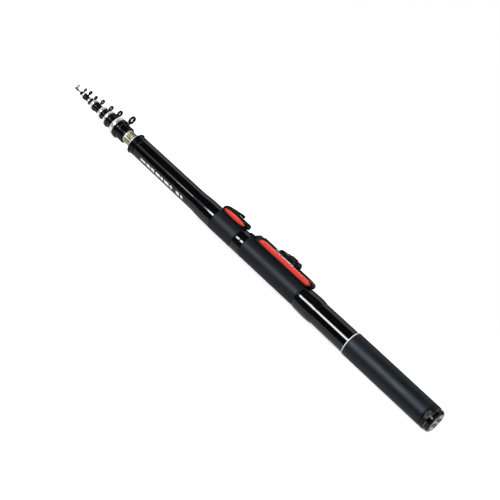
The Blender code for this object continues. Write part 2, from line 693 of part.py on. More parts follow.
def saddle_slope(lift):
    """The front saddle's top from the nose to the level part, as (x, z) points, raised by a lift."""
    fall = SADDLE_TOP - SADDLE_NOSE
    return [
        (SADDLE_END, SADDLE_NOSE + lift),
        (SADDLE_END - SADDLE_KNEE * SADDLE_SLOPE_LENGTH, SADDLE_TOP - SADDLE_KNEE * fall + lift),
        (SADDLE_END - SADDLE_SLOPE_LENGTH, SADDLE_TOP + lift),
    ]


def saddle_side():
    """Side outline of the front saddle in (x, z), from the nose over the top to the rear end."""
    bottom = SEAT_UNDERSIDE - SEAT_HALF_WIDTH / 2.0
    corner = (SADDLE_START + SADDLE_END_RADIUS, SADDLE_TOP - SADDLE_END_RADIUS)
    outline = [(SADDLE_END, bottom)] + saddle_slope(0.0)
    outline += arc(corner, SADDLE_END_RADIUS, 90, 180, 4)
    outline.append((SADDLE_START, bottom))
    return outline


def make_front_saddle(bed):
    z_low = SEAT_UNDERSIDE - SEAT_HALF_WIDTH
    z_high = HOOD_TOP
    plan = inset_plan(SADDLE_START, SADDLE_END, 0.0)
    saddle = prism("front_saddle", saddle_side(), "Y", -SEAT_HALF_WIDTH, SEAT_HALF_WIDTH)
    combine(saddle, prism("saddle_plan", plan, "Z", z_low, z_high, CUTTERS), "INTERSECT")
    combine(saddle, bed, "DIFFERENCE")
    channel = block(
        "saddle_channel",
        (SADDLE_START - SEAT_CORNER, -FOOT_HALF_WIDTH, FOOT_FLOOR),
        (HOOD_START + HOOD_POCKET_DEPTH, FOOT_HALF_WIDTH, z_high),
    )
    combine(saddle, channel, "DIFFERENCE")

    low = SADDLE_START + FRONT_INLAY_REAR
    high = SADDLE_END - FRONT_INLAY_NOSE
    height = FRONT_INLAY_HEIGHT
    outline = lens(low, high, FRONT_INLAY_MIDDLE, height)
    margin = 3.0 * FACE_GAP
    recess = lens(low - margin, high + margin, FRONT_INLAY_MIDDLE, height + 2.0 * FACE_GAP)
    recess_core = inset_plan(SADDLE_START, SADDLE_END, INLAY_THICKNESS + FACE_GAP)
    inlay_core = inset_plan(SADDLE_START, SADDLE_END, INLAY_THICKNESS)
    for side, word in ((1, "left"), (-1, "right")):
        cutter = inlay_cutter("front_recess_" + word, recess, recess_core, side, z_low, z_high)
        combine(saddle, cutter, "DIFFERENCE")
        make_inlay("front_inlay_" + word, outline, plan, inlay_core, side, z_low, z_high)
    return finish_piece(saddle, "seat_plastic")


def hood_roof(wall):
    """The front hood's roof as (x, z) points from its rear end to the nose, lowered by a wall."""
    fall = HOOD_TOP - SADDLE_NOSE - FACE_GAP - HOOD_NOSE_WALL
    return [
        (HOOD_START + along * HOOD_LENGTH, HOOD_TOP - down * fall - wall) for along, down in HOOD_ROOF
    ]


def make_front_hood():
    """The fixed hood over the front saddle; its pocket opens to the rear."""
    underside = saddle_slope(FACE_GAP)
    roof = hood_roof(0.0)
    outline = [(HOOD_START, underside[-1][1])] + underside[::-1] + roof[::-1]
    hood = prism("front_hood", outline, "Y", -SEAT_HALF_WIDTH, SEAT_HALF_WIDTH)
    plan = inset_plan(SADDLE_START, SADDLE_END, 0.0)
    combine(hood, prism("hood_plan", plan, "Z", 0.0, HOOD_TOP + SEAT_CORNER, CUTTERS), "INTERSECT")
    arch = arch_outline(SEAT_HALF_WIDTH, HOOD_TOP, HOOD_SIDE_RADIUS)
    reach = (HOOD_START - SEAT_CORNER, SADDLE_END + SEAT_CORNER)
    combine(hood, prism("hood_arch", arch, "X", reach[0], reach[1], CUTTERS), "INTERSECT")
    ceiling = hood_roof(HOOD_WALL)
    pocket_end = HOOD_START + HOOD_POCKET_DEPTH
    end_height = float(np.interp(pocket_end, [x for x, z in ceiling], [z for x, z in ceiling]))
    pocket = [(HOOD_START - SEAT_CORNER, ceiling[0][1])]
    pocket += [(x, z) for x, z in ceiling if HOOD_START < x < pocket_end]
    pocket += [(pocket_end, end_height), (pocket_end, 0.0), (HOOD_START - SEAT_CORNER, 0.0)]
    cutter = prism("hood_pocket", pocket, "Y", -FOOT_HALF_WIDTH, FOOT_HALF_WIDTH, CUTTERS)
    combine(hood, cutter, "DIFFERENCE")
    return finish_piece(hood, "seat_plastic")


def rail_side():
    """Side outline of the rail in (x, z): foot, ramp, long flat top and round rear end."""
    bottom = SEAT_UNDERSIDE - SEAT_HALF_WIDTH / 2.0
    corner = (RAIL_START + RAIL_END_RADIUS, RAIL_TOP - RAIL_END_RADIUS)
    ramp_end = RAIL_END + RAIL_RAMP
    outline = [(ramp_end, bottom), (ramp_end, RAIL_FOOT_TOP), (RAIL_END, RAIL_TOP)]
    outline += arc(corner, RAIL_END_RADIUS, 90, 180, 4)
    outline.append((RAIL_START, bottom))
    return outline


def make_rail(bed):
    """The long rear saddle that the sliding hood runs on."""
    z_low = SEAT_UNDERSIDE - SEAT_HALF_WIDTH
    z_high = HOOD_TOP
    front = RAIL_END + RAIL_RAMP
    plan = inset_plan(RAIL_START, front, 0.0)
    rail = prism("seat_rail", rail_side(), "Y", -SEAT_HALF_WIDTH, SEAT_HALF_WIDTH)
    combine(rail, prism("rail_plan", plan, "Z", z_low, z_high, CUTTERS), "INTERSECT")
    foot = block(
        "rail_foot",
        (RAIL_END - RAIL_FOOT_LENGTH, -RAIL_FOOT_HALF_WIDTH, z_low),
        (RAIL_END + RAIL_FOOT_LENGTH, RAIL_FOOT_HALF_WIDTH, RAIL_FOOT_TOP),
    )
    combine(rail, foot, "UNION")
    combine(rail, bed, "DIFFERENCE")
    channel_start = RAIL_START + SEAT_CORNER + RAIL_INLAY_REAR
    undercut = FOOT_HALF_WIDTH + UNDERCUT_DEPTH
    slot = [
        (FOOT_HALF_WIDTH, z_high),
        (FOOT_HALF_WIDTH, FOOT_FLOOR + UNDERCUT_HEIGHT),
        (undercut, FOOT_FLOOR + UNDERCUT_HEIGHT),
        (undercut, FOOT_FLOOR),
    ]
    slot += [(-y, z) for y, z in reversed(slot)]
    channel = prism("rail_channel", slot, "X", channel_start, front + SEAT_CORNER, CUTTERS)
    combine(rail, channel, "DIFFERENCE")

    low = RAIL_START + RAIL_INLAY_REAR
    high = RAIL_END - RAIL_INLAY_FRONT
    height = RAIL_INLAY_HEIGHT
    outline = slot_outline(low, high, RAIL_INLAY_MIDDLE, height)
    recess = slot_outline(low - FACE_GAP, high + FACE_GAP, RAIL_INLAY_MIDDLE, height + 2.0 * FACE_GAP)
    recess_core = inset_plan(RAIL_START, front, INLAY_THICKNESS + FACE_GAP)
    inlay_core = inset_plan(RAIL_START, front, INLAY_THICKNESS)
    for side, word in ((1, "left"), (-1, "right")):
        cutter = inlay_cutter("rail_recess_" + word, recess, recess_core, side, z_low, z_high)
        combine(rail, cutter, "DIFFERENCE")
        make_inlay("rail_inlay_" + word, outline, plan, inlay_core, side, z_low, z_high)
    return finish_piece(rail, "seat_plastic")


# Reel seat, sliding hood

def make_runner(parent):
    """The steel runner: a plate over the rail with outer flanges, and inner lips in the undercut.

    Its front end is open on top, so that two prongs reach along the reel's foot.
    """
    inside = SEAT_HALF_WIDTH + RUNNER_PLAY
    outside = inside + RUNNER_WALL
    deck = RUNNER_DECK
    skirt = RAIL_TOP - RUNNER_SKIRT
    lip_low = FOOT_FLOOR + RUNNER_PLAY
    lip_top = lip_low + LIP_HEIGHT
    neck = FOOT_HALF_WIDTH - RUNNER_PLAY
    half = [
        (outside, deck + RUNNER_WALL),
        (outside, skirt),
        (inside, skirt),
        (inside, deck),
        (neck, deck),
        (neck, lip_top),
        (neck + LIP_REACH + RUNNER_PLAY, lip_top),
        (neck + LIP_REACH + RUNNER_PLAY, lip_low),
        (neck - RUNNER_WALL, lip_low),
        (neck - RUNNER_WALL, deck),
    ]
    outline = half + [(-y, z) for y, z in reversed(half)]
    runner = prism("slide_runner", outline, "X", RUNNER_START, RUNNER_END)
    notch = block(
        "runner_notch",
        (RUNNER_END - PRONG_LENGTH, -(neck - RUNNER_WALL), deck - RUNNER_WALL),
        (RUNNER_END + PRONG_LENGTH, neck - RUNNER_WALL, deck + 2.0 * RUNNER_WALL),
    )
    combine(runner, notch, "DIFFERENCE")
    return finish_piece(runner, "bright_steel", parent)


def make_slide_hood(parent):
    """The sliding hood: front lip over the pocket, cheeks for the lever's pin, and a rear stop."""
    floor = RAIL_TOP - SLIDE_SKIRT
    lip_start = SLIDE_HOOD_END - SLIDE_LIP_LENGTH
    lip_slope = SLIDE_LIP_LENGTH / 3.0
    outline = [
        (SLIDE_HOOD_END, floor),
        (SLIDE_HOOD_END, SLIDE_HOOD_TOP - lip_slope),
        (SLIDE_HOOD_END - lip_slope, SLIDE_HOOD_TOP),
        (lip_start + lip_slope, SLIDE_HOOD_TOP),
        (lip_start, SLIDE_HOOD_TOP - SLIDE_HOOD_WALL),
        (PIN_X + CHEEK_RADIUS + FACE_GAP, SLIDE_HOOD_TOP - SLIDE_HOOD_WALL),
        (PIN_X + CHEEK_RADIUS + FACE_GAP, SLIDE_DECK_TOP),
        (SLIDE_HOOD_START + STOP_LENGTH, SLIDE_DECK_TOP),
        (SLIDE_HOOD_START + STOP_LENGTH, STOP_TOP - lip_slope),
        (SLIDE_HOOD_START + STOP_LENGTH - lip_slope, STOP_TOP),
        (SLIDE_HOOD_START + lip_slope, STOP_TOP - FACE_GAP),
        (SLIDE_HOOD_START, STOP_TOP - 2.0 * lip_slope),
        (SLIDE_HOOD_START, floor),
    ]
    runner_half = SEAT_HALF_WIDTH + RUNNER_PLAY + RUNNER_WALL + GLUE_GAP
    half_width = runner_half + SLIDE_SIDE_WALL
    hood = prism("slide_hood", outline, "Y", -half_width, half_width)

    cheek_outer = LEVER_HALF_WIDTH + FACE_GAP + CHEEK_WIDTH
    cheeks = rod_bar("slide_cheeks", CHEEK_RADIUS, PIN_X, PIN_HEIGHT, cheek_outer, SIDES_SMALL, CUTTERS)
    combine(hood, cheeks, "UNION")
    stand = block(
        "slide_cheek_stand",
        (PIN_X - CHEEK_RADIUS, -cheek_outer, HOOD_FLOOR + FACE_GAP),
        (PIN_X + CHEEK_RADIUS, cheek_outer, PIN_HEIGHT),
    )
    combine(hood, stand, "UNION")
    well_half = LEVER_HALF_WIDTH + FACE_GAP
    well = block(
        "lever_well",
        (SLIDE_HOOD_START + STOP_LENGTH + FACE_GAP, -well_half, HOOD_FLOOR + SLIDE_DECK_WALL),
        (PIN_X + CHEEK_RADIUS + 2.0 * FACE_GAP, well_half, LEVER_TOP + CHEEK_RADIUS),
    )
    combine(hood, well, "DIFFERENCE")
    bore = PIN_RADIUS + FACE_GAP
    pin_hole = rod_bar("slide_pin_hole", bore, PIN_X, PIN_HEIGHT, half_width, SIDES_SMALL, CUTTERS)
    combine(hood, pin_hole, "DIFFERENCE")

    arch = arch_outline(half_width, STOP_TOP, SLIDE_SIDE_RADIUS)
    plan = rounded_plan(SLIDE_HOOD_START, SLIDE_HOOD_END, half_width, SLIDE_CORNER)
    reach = (SLIDE_HOOD_START - SEAT_CORNER, SLIDE_HOOD_END + SEAT_CORNER)
    combine(hood, prism("slide_hood_plan", plan, "Z", 0.0, LEVER_TOP, CUTTERS), "INTERSECT")
    combine(hood, prism("slide_hood_arch", arch, "X", reach[0], reach[1], CUTTERS), "INTERSECT")
    pocket = block(
        "slide_pocket",
        (SLIDE_HOOD_END - SLIDE_POCKET_DEPTH, -FOOT_HALF_WIDTH, 0.0),
        (SLIDE_HOOD_END + SEAT_CORNER, FOOT_HALF_WIDTH, SLIDE_HOOD_TOP - SLIDE_HOOD_WALL),
    )
    combine(hood, pocket, "DIFFERENCE")
    tunnel = block(
        "runner_tunnel",
        (SLIDE_HOOD_START - SEAT_CORNER, -runner_half, 0.0),
        (SLIDE_HOOD_END + SEAT_CORNER, runner_half, HOOD_FLOOR),
    )
    combine(hood, tunnel, "DIFFERENCE")
    return finish_piece(hood, "seat_plastic", parent)


def make_lever_pin(parent):
    half_length = LEVER_HALF_WIDTH + FACE_GAP + CHEEK_WIDTH
    pin = rod_bar("lever_pin", PIN_RADIUS, PIN_X, PIN_HEIGHT, half_length, SIDES_SMALL, ROD)
    return finish_piece(pin, "bright_steel", parent)


def make_lock_lever(parent):
    """The thumb lever: a round hub on the pin, a raised ribbed pad, and a free rear end."""
    hub = arc((PIN_X, PIN_HEIGHT), LEVER_HUB, -90, LEVER_HUB_END, 4)
    free_end = PIN_X - LEVER_LENGTH
    outline = hub + [
        (PIN_X + LEVER_HUB / 2.0, LEVER_TOP - RIB_DEPTH),
        (PIN_X - LEVER_HUB, LEVER_TOP),
        (free_end + 1.5 * RIB_DEPTH, LEVER_TOP),
        (free_end, LEVER_TOP - 2.0 * RIB_DEPTH),
        (free_end + RIB_DEPTH, LEVER_UNDERSIDE),
    ]
    lever = prism("lock_lever", outline, "Y", -LEVER_HALF_WIDTH, LEVER_HALF_WIDTH)
    first = free_end + 3.0 * RIB_DEPTH
    pitch = (LEVER_LENGTH - LEVER_HUB - 3.0 * RIB_DEPTH) / LEVER_RIBS
    for index in range(LEVER_RIBS):
        x = first + index * pitch
        rib = block(
            "lever_rib_" + str(index),
            (x, -2.0 * LEVER_HALF_WIDTH, LEVER_TOP - RIB_DEPTH),
            (x + pitch / 2.0, 2.0 * LEVER_HALF_WIDTH, LEVER_TOP + RIB_DEPTH),
        )
        combine(lever, rib, "DIFFERENCE")
    bore = PIN_RADIUS + FACE_GAP
    reach = 2.0 * LEVER_HALF_WIDTH
    hole = rod_bar("lever_hole", bore, PIN_X, PIN_HEIGHT, reach, SIDES_SMALL, CUTTERS)
    combine(lever, hole, "DIFFERENCE")
    return finish_piece(lever, "seat_plastic", parent)


# Butt cap

def make_butt_cap(parent):
    """The screw cap: a rounded end, a groove, a band as wide as the grip, and a hollow spigot."""
    buffer_seat = SPIGOT_END - BUFFER_DEPTH - FACE_GAP
    badge_seat = BADGE_DEPTH + FACE_GAP
    rim = arc((CAP_EDGE, CAP_BUTTON_RADIUS - CAP_EDGE), CAP_EDGE, 90, 180, 4)
    groove_radius = CAP_BUTTON_RADIUS - CAP_GROOVE_DEPTH
    groove_end = CAP_GROOVE_START + CAP_GROOVE_LENGTH
    profile = [
        (buffer_seat, 0.0),
        (buffer_seat, SPIGOT_BORE),
        (SPIGOT_END, SPIGOT_BORE),
        (SPIGOT_END, SPIGOT_RADIUS),
        (CAP_LENGTH, SPIGOT_RADIUS),
        (CAP_LENGTH, GRIP_RADIUS),
        (groove_end, GRIP_RADIUS),
        (groove_end, groove_radius),
        (CAP_GROOVE_START, groove_radius),
        (CAP_GROOVE_START, CAP_BUTTON_RADIUS),
    ]
    profile += rim
    profile += [
        (0.0, BADGE_RADIUS + GLUE_GAP),
        (badge_seat, BADGE_RADIUS + GLUE_GAP),
        (badge_seat, 0.0),
    ]
    cap = turned("butt_cap", profile, SIDES_LARGE, hollow=False)
    return finish_piece(cap, "black_metal", parent)


def make_badge(parent):
    """The round plate let into the cap's end face."""
    profile = [
        (BADGE_DEPTH, 0.0),
        (BADGE_DEPTH, BADGE_RADIUS),
        (0.0, BADGE_RADIUS),
        (0.0, 0.0),
    ]
    return finish_piece(turned("cap_badge", profile, SIDES_LARGE, hollow=False), "badge_metal", parent)


def make_buffer(parent):
    """The rubber pad in the cap that the nested sections rest on."""
    radius = SPIGOT_BORE - GLUE_GAP
    profile = [
        (BUFFER_END, 0.0),
        (BUFFER_END, radius),
        (SPIGOT_END - BUFFER_DEPTH, radius),
        (SPIGOT_END - BUFFER_DEPTH, 0.0),
    ]
    return finish_piece(turned("cap_buffer", profile, SIDES_LARGE, hollow=False), "black_rubber", parent)


def make_o_ring(parent):
    """The rubber ring round the spigot's root, between the cap and the ferrule."""
    wire = O_RING_WIRE / 2.0
    centre = (CAP_LENGTH + FACE_GAP / 2.0 + wire, SPIGOT_RADIUS + THREAD_GAP / 2.0 + wire)
    profile = arc(centre, wire, 0, 360, O_RING_SIDES)[:-1]
    return finish_piece(turned("cap_o_ring", profile, SIDES_LARGE), "black_rubber", parent)


# Inner sections

def tube_piece(name, index, x_end, parent):
    """A section's tube: base land, tapering outside, wide bore and narrow mouth land."""
    sizes = SECTIONS[index]
    sides = SIDES_LARGE if index < LARGE_TUBES else SIDES_SMALL
    land = land_radius(index)
    land_end = SECTION_BASE + sizes["base_land"]
    outside = [
        (x_end, sizes["end_radius"]),
        (land_end + LAND_CHAMFER, sizes["base_radius"]),
        (land_end, land),
        (SECTION_BASE, land),
    ]
    bore = wide_bore(index + 1)
    mouth = mouth_bore(index + 1)
    mouth_start = x_end - sizes["mouth_land"]
    inside = [
        (SECTION_BASE, max(bore, land - BASE_WALL)),
        (mouth_start - LAND_CHAMFER, bore),
        (mouth_start, mouth),
        (x_end, mouth),
    ]
    return finish_piece(turned(name, outside + inside, sides), "lacquered_blank", parent)


def make_tip_blank(parent):
    """The solid tip section."""
    sizes = SECTIONS[-1]
    land = land_radius(len(SECTIONS) - 1)
    land_end = SECTION_BASE + sizes["base_land"]
    x_end = TIP_TOP_END - TIP_BLANK_INSET
    profile = [
        (x_end, 0.0),
        (x_end, sizes["end_radius"]),
        (land_end + LAND_CHAMFER, sizes["base_radius"]),
        (land_end, land),
        (SECTION_BASE, land),
        (SECTION_BASE, 0.0),
    ]
    return finish_piece(turned("tip_blank", profile, SIDES_SMALL, hollow=False), "lacquered_blank", parent)


def guide_loop(name, x, height, outer, inner, width, sides, collection):
    """A guide's loop: a ring of rectangular section with eased edges, standing across the rod."""
    ease = (outer - inner) * LOOP_EASE
    half = width / 2.0
    profile = [
        (x + half, outer - ease),
        (x + half - ease, outer),
        (x - half + ease, outer),
        (x - half, outer - ease),
        (x - half, inner),
        (x + half, inner),
    ]
    loop = turned(name, profile, sides, collection)
    loop.location.z = height
    return loop


def collar_profile(start, end, radius, bore):
    """A collar with a full front lip, a groove behind it and a slimmer body."""
    lip = (end - start) * COLLAR_LIP
    waist = radius * COLLAR_WAIST
    ease = lip * COLLAR_EASE
    return [
        (end, radius - ease),
        (end - ease, radius),
        (end - lip, radius),
        (end - lip - ease, waist),
        (start, waist * COLLAR_DRAFT),
        (start, bore),
        (end, bore),
    ]


def make_collar(index, parent, bore, label):
    """A section's collar with the foot and loop of its line guide in one piece, and the guide's ring."""
    sizes = SECTIONS[index]
    start, end = PLACES[index]["collar"]
    radius = sizes["collar_radius"]
    sides = SIDES_LARGE if index < LARGE_COLLARS else SIDES_SMALL
    loop_sides = LOOP_SIDES if index < LARGE_COLLARS else SMALL_LOOP_SIDES
    collar = turned(label + "_collar", collar_profile(start, end, radius, bore), sides)
    x = start + (end - start) * sizes["guide_place"]
    height = sizes["guide_height"]
    outer = sizes["guide_radius"]
    wire = sizes["guide_wire"]
    seat = outer - wire * (1.0 - RING_SHARE)
    body = radius * COLLAR_WAIST
    foot = block(
        label + "_foot",
        (x - wire, -outer * FOOT_WIDTH, (bore + body) / 2.0),
        (x + wire, outer * FOOT_WIDTH, height - outer + wire * FOOT_BITE),
    )
    combine(collar, foot, "UNION")
    loop = guide_loop(label + "_loop", x, height, outer, seat, wire, loop_sides, CUTTERS)
    combine(collar, loop, "UNION")
    finish_piece(collar, "seat_plastic", parent)
    ring = guide_loop(
        label + "_guide_ring", x, height, seat - GUIDE_FIT, outer - wire, wire * RING_WIDTH, loop_sides, ROD
    )
    finish_piece(ring, "guide_ceramic", parent)


def make_end_ring(index, parent):
    """The bright ring on a section's end: a full flange that rounds down towards the front."""
    sizes = SECTIONS[index]
    start, end = PLACES[index]["ring"]
    radius = sizes["ring_radius"]
    bore = sizes["end_radius"] + GLUE_GAP
    step = (end - start) / 3.0
    front = bore + (radius - bore) * END_RING_FRONT
    profile = [
        (end, front),
        (end - step, radius - (radius - front) * END_RING_SHOULDER),
        (start + step, radius),
        (start, radius),
        (start, bore),
        (end, bore),
    ]
    sides = SIDES_LARGE if index < LARGE_COLLARS else SIDES_SMALL
    ring = turned("section_" + str(index + 1) + "_end_ring", profile, sides)
    return finish_piece(ring, "polished_aluminium", parent)


def make_neck_sleeve(parent):
    """The champagne sleeve on the first section, seen between the mouth and its collar."""
    start = BUTT_LENGTH + MOUTH_LIP_LENGTH + 2.0 * FACE_GAP
    end = BUTT_LENGTH + NECK_LENGTH - FACE_GAP
    sizes = SECTIONS[0]
    taper_start = SECTION_BASE + sizes["base_land"] + LAND_CHAMFER
    tube_end = PLACES[0]["ring"][1] - END_STEP
    share = (tube_end - start) / (tube_end - taper_start)
    tube_radius = sizes["end_radius"] + (sizes["base_radius"] - sizes["end_radius"]) * share
    inner = tube_radius + GLUE_GAP
    profile = tube_profile(start, end, inner + NECK_WALL, inner)
    return finish_piece(turned("section_1_sleeve", profile, SIDES_LARGE), "champagne_metal", parent)


def make_tip_top(parent):
    """The tip top: a short tube closed at the front, with a small guide standing on it."""
    bore = SECTIONS[-1]["end_radius"] + GLUE_GAP
    blank_end = TIP_TOP_END - TIP_BLANK_INSET
    profile = [
        (TIP_TOP_END, 0.0),
        (TIP_TOP_END, TIP_TOP_RADIUS * TIP_NOSE),
        (TIP_TOP_END - TIP_TOP_RADIUS / 2.0, TIP_TOP_RADIUS),
        (TIP_TOP_START, TIP_TOP_RADIUS),
        (TIP_TOP_START, bore),
        (blank_end + FACE_GAP, bore),
        (blank_end + FACE_GAP, 0.0),
    ]
    top = turned("tip_top", profile, SIDES_SMALL, hollow=False)
    x = TIP_TOP_END - TIP_GUIDE_RADIUS
    seat = TIP_GUIDE_RADIUS - TIP_GUIDE_WIRE * (1.0 - RING_SHARE)
    wire = TIP_GUIDE_WIRE
    height = TIP_GUIDE_HEIGHT
    loop = guide_loop("tip_loop", x, height, TIP_GUIDE_RADIUS, seat, wire, SMALL_LOOP_SIDES, CUTTERS)
    foot = block(
        "tip_foot",
        (x - wire, -TIP_TOP_RADIUS / 2.0, (bore + TIP_TOP_RADIUS) / 2.0),
        (x + wire, TIP_TOP_RADIUS / 2.0, height - TIP_GUIDE_RADIUS + wire * FOOT_BITE),
    )
    combine(top, foot, "UNION")
    combine(top, loop, "UNION")
    finish_piece(top, "black_metal", parent)
    bore = TIP_GUIDE_RADIUS - wire
    ring = guide_loop(
        "tip_top_ring", x, height, seat - GUIDE_FIT, bore, wire * RING_WIDTH, SMALL_LOOP_SIDES, ROD
    )
    finish_piece(ring, "guide_ceramic", parent)


def make_sections():
    """The seven inner sections; each hangs from an empty at its base, child of the one outside it."""
    parent = None
    last = len(SECTIONS) - 1
    for index, sizes in enumerate(SECTIONS):
        axis = empty_at("section_" + str(index + 1) + "_axis", SECTION_BASE, parent=parent)
        label = "section_" + str(index + 1)
        if index < last:
            tube_end = PLACES[index]["ring"][1] - END_STEP
            tube_piece(label + "_tube", index, tube_end, axis)
            make_collar(index, axis, sizes["end_radius"] + GLUE_GAP, label)
            make_end_ring(index, axis)
        else:
            make_tip_blank(axis)
            floating = empty_at("floating_guide_axis", PLACES[index]["collar"][0], parent=axis)
            make_collar(index, floating, FLOAT_BORE, "float")
            make_tip_top(axis)
        if index == 0:
            make_neck_sleeve(axis)
        parent = axis


def make_rod():
    make_butt_blank()
    make_mouth_ring()
    make_grip()
    make_ferrule()
    make_wraps_and_sleeves()
    bed = seat_bed("seat_bed")
    make_front_saddle(bed)
    make_front_hood()
    make_rail(bed)
    slide = empty_at("slide_axis", RUNNER_START, RAIL_TOP)
    make_runner(slide)
    make_slide_hood(slide)
    make_lever_pin(slide)
    make_lock_lever(empty_at("lever_axis", PIN_X, PIN_HEIGHT, slide))
    cap_slide = empty_at("cap_slide_axis", CAP_LENGTH)
    cap_turn = empty_at("cap_turn_axis", CAP_LENGTH, parent=cap_slide)
    make_buffer(cap_slide)
    make_o_ring(cap_slide)
    make_butt_cap(cap_turn)
    make_badge(cap_turn)
    make_sections()
    bpy.context.view_layer.update()


make_rod()
print("travel of each section in mm:", [round(travel / MM, 1) for travel in section_travels()])
print("closed length in mm:", round(TIP_TOP_END / MM, 1))
print("extended length in mm:", round((TIP_TOP_END + sum(section_travels())) / MM, 1))
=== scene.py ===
# %% [markdown]
# A telescopic boat rod, closed for carrying, lies on a pale table. Its butt holds a grip, a screw
# cap and a reel seat with a sliding, locking hood, and seven thinner sections stand nested in it.
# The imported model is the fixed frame: every surface below is fitted round its bodies, and all
# lengths are worked out in millimetres and turned to metres when a mesh is made.

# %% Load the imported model
import json
import math

import bmesh
import bpy
import numpy as np
from mathutils import Matrix, Vector


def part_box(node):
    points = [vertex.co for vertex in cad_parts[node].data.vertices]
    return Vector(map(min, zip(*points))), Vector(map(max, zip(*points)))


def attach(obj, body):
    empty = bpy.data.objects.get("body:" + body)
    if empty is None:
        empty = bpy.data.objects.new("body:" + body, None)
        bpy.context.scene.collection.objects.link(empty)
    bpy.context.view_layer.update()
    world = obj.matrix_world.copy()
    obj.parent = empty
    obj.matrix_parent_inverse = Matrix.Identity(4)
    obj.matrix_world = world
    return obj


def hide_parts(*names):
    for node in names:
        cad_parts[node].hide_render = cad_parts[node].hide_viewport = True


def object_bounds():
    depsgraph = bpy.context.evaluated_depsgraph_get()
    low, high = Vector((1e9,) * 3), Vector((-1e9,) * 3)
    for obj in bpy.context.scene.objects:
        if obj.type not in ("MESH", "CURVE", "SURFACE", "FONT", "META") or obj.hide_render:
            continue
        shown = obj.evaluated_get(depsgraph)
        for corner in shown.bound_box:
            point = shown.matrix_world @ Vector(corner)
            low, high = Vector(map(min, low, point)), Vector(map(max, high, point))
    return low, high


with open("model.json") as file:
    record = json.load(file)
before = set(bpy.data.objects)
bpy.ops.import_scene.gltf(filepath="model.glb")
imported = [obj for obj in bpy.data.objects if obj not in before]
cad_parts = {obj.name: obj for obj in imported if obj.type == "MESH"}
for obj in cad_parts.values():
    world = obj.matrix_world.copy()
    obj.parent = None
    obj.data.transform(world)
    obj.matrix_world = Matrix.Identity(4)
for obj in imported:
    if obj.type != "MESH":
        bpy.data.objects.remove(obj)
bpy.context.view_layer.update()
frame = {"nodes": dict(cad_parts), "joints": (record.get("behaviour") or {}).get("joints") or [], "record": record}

MM = 0.001


# %% [markdown]
# The camera stands where the photograph was taken from: level with the rod, nearly square to it,
# a little behind the butt, and rolled so that the rod runs from the lower right to the upper left.
# A long lens from 1.7 m keeps the perspective as slight as it is there.

# %% Camera
LENS_MM = 117.0
DISTANCE = 1.71
AIM = Vector((0.2713, 0.0, 0.0))
AIM_BELOW = 0.00027             # metres below the rod as seen, which centres it in the picture
ABOVE = math.radians(5.0)       # how far the camera stands above the rod's side
ALONG = 0.3714                  # share of the line of sight that runs along the rod
ROLL = math.radians(42.902)
ROD = Vector((1.0, 0.0, 0.0))
SQUARE = math.sqrt(1.0 - ALONG * ALONG)
BACK = Vector((-ALONG, SQUARE * math.cos(ABOVE), SQUARE * math.sin(ABOVE)))


def put(name, data):
    """A new object with this data, linked to the scene."""
    obj = bpy.data.objects.new(name, data)
    bpy.context.scene.collection.objects.link(obj)
    return obj


def make_camera():
    """The picture's axes are the rod as seen and the line square to it, turned by the roll."""
    rod_seen = (ROD - BACK * BACK.x).normalized()
    across = rod_seen.cross(BACK)
    right = math.sin(ROLL) * across - math.cos(ROLL) * rod_seen
    up = math.cos(ROLL) * across + math.sin(ROLL) * rod_seen
    lens = bpy.data.cameras.new("photo_camera")
    lens.lens = LENS_MM
    lens.clip_start = 0.01
    camera = put("photo_camera", lens)
    eye = AIM - across * AIM_BELOW + BACK * DISTANCE
    turn = Matrix((right, up, BACK)).transposed()
    camera.matrix_world = Matrix.Translation(eye) @ turn.to_4x4()
    bpy.context.scene.camera = camera
    print("camera at", [round(value, 3) for value in eye])


make_camera()
bpy.context.scene.view_settings.view_transform = "Standard"


# %% [markdown]
# Every finish is a small node tree, which could also be put together by hand in the shader editor.
# A few functions do it here, so that a finish reads as a short list of what the real one has. One
# turns a hex colour to Blender's linear values, and one adds a node with its settings and inputs. A
# number that is the same all over a surface stays on the shader's own socket.

# %% Node helpers
def linear(hex_colour):
    """The sRGB curve undone: c/12.92 below 0.04045, else ((c + 0.055)/1.055)^2.4."""
    values = np.array([int(hex_colour[i:i + 2], 16) for i in (1, 3, 5)]) / 255.0
    low = values / 12.92
    high = ((values + 0.055) / 1.055) ** 2.4
    return (*np.where(values <= 0.04045, low, high).tolist(), 1.0)


def fill(owner, node, inputs):
    """Fills a node's inputs, by name or in order, with a node, one of its outputs, or a value."""
    named = inputs.items() if isinstance(inputs, dict) else enumerate(inputs)
    for key, value in named:
        if isinstance(value, bpy.types.Node):
            value = value.outputs[0]
        if isinstance(value, bpy.types.NodeSocket):
            owner.node_tree.links.new(value, node.inputs[key])
        else:
            node.inputs[key].default_value = value


def add(owner, kind, inputs=(), **settings):
    """A node of one kind in a material or the world, with its settings and its inputs."""
    node = owner.node_tree.nodes.new("ShaderNode" + kind)
    for key, value in settings.items():
        setattr(node, key, value)
    fill(owner, node, inputs)
    return node


def feed(material, **inputs):
    """Fills inputs of the material's own shader, with _ for each space of their names."""
    shader = material.node_tree.nodes["Principled BSDF"]
    fill(material, shader, {key.replace("_", " "): value for key, value in inputs.items()})


def new_material(name, **inputs):
    """A material with one Principled shader, its plain values on the sockets."""
    material = bpy.data.materials.new(name)
    material.use_nodes = True
    feed(material, **inputs)
    print("material", material.name)
    return material


print("hex #808080 is", round(linear("#808080")[0], 3), "in linear light")


# %% [markdown]
# No real surface is quite even, so a pattern varies each finish a little. It is a texture in the
# piece's own coordinates, whose scale is worked out from a real size. A picture laid on the surface
# would do as well, but every piece would have to be unrolled for it first.

# %% Patterns
USABLE = (0.3, 0.7)               # the middle of a noise texture's values, where nearly all lie
WAVE_PERIOD = math.pi / 10.0      # the wave texture's own period at a scale of 1


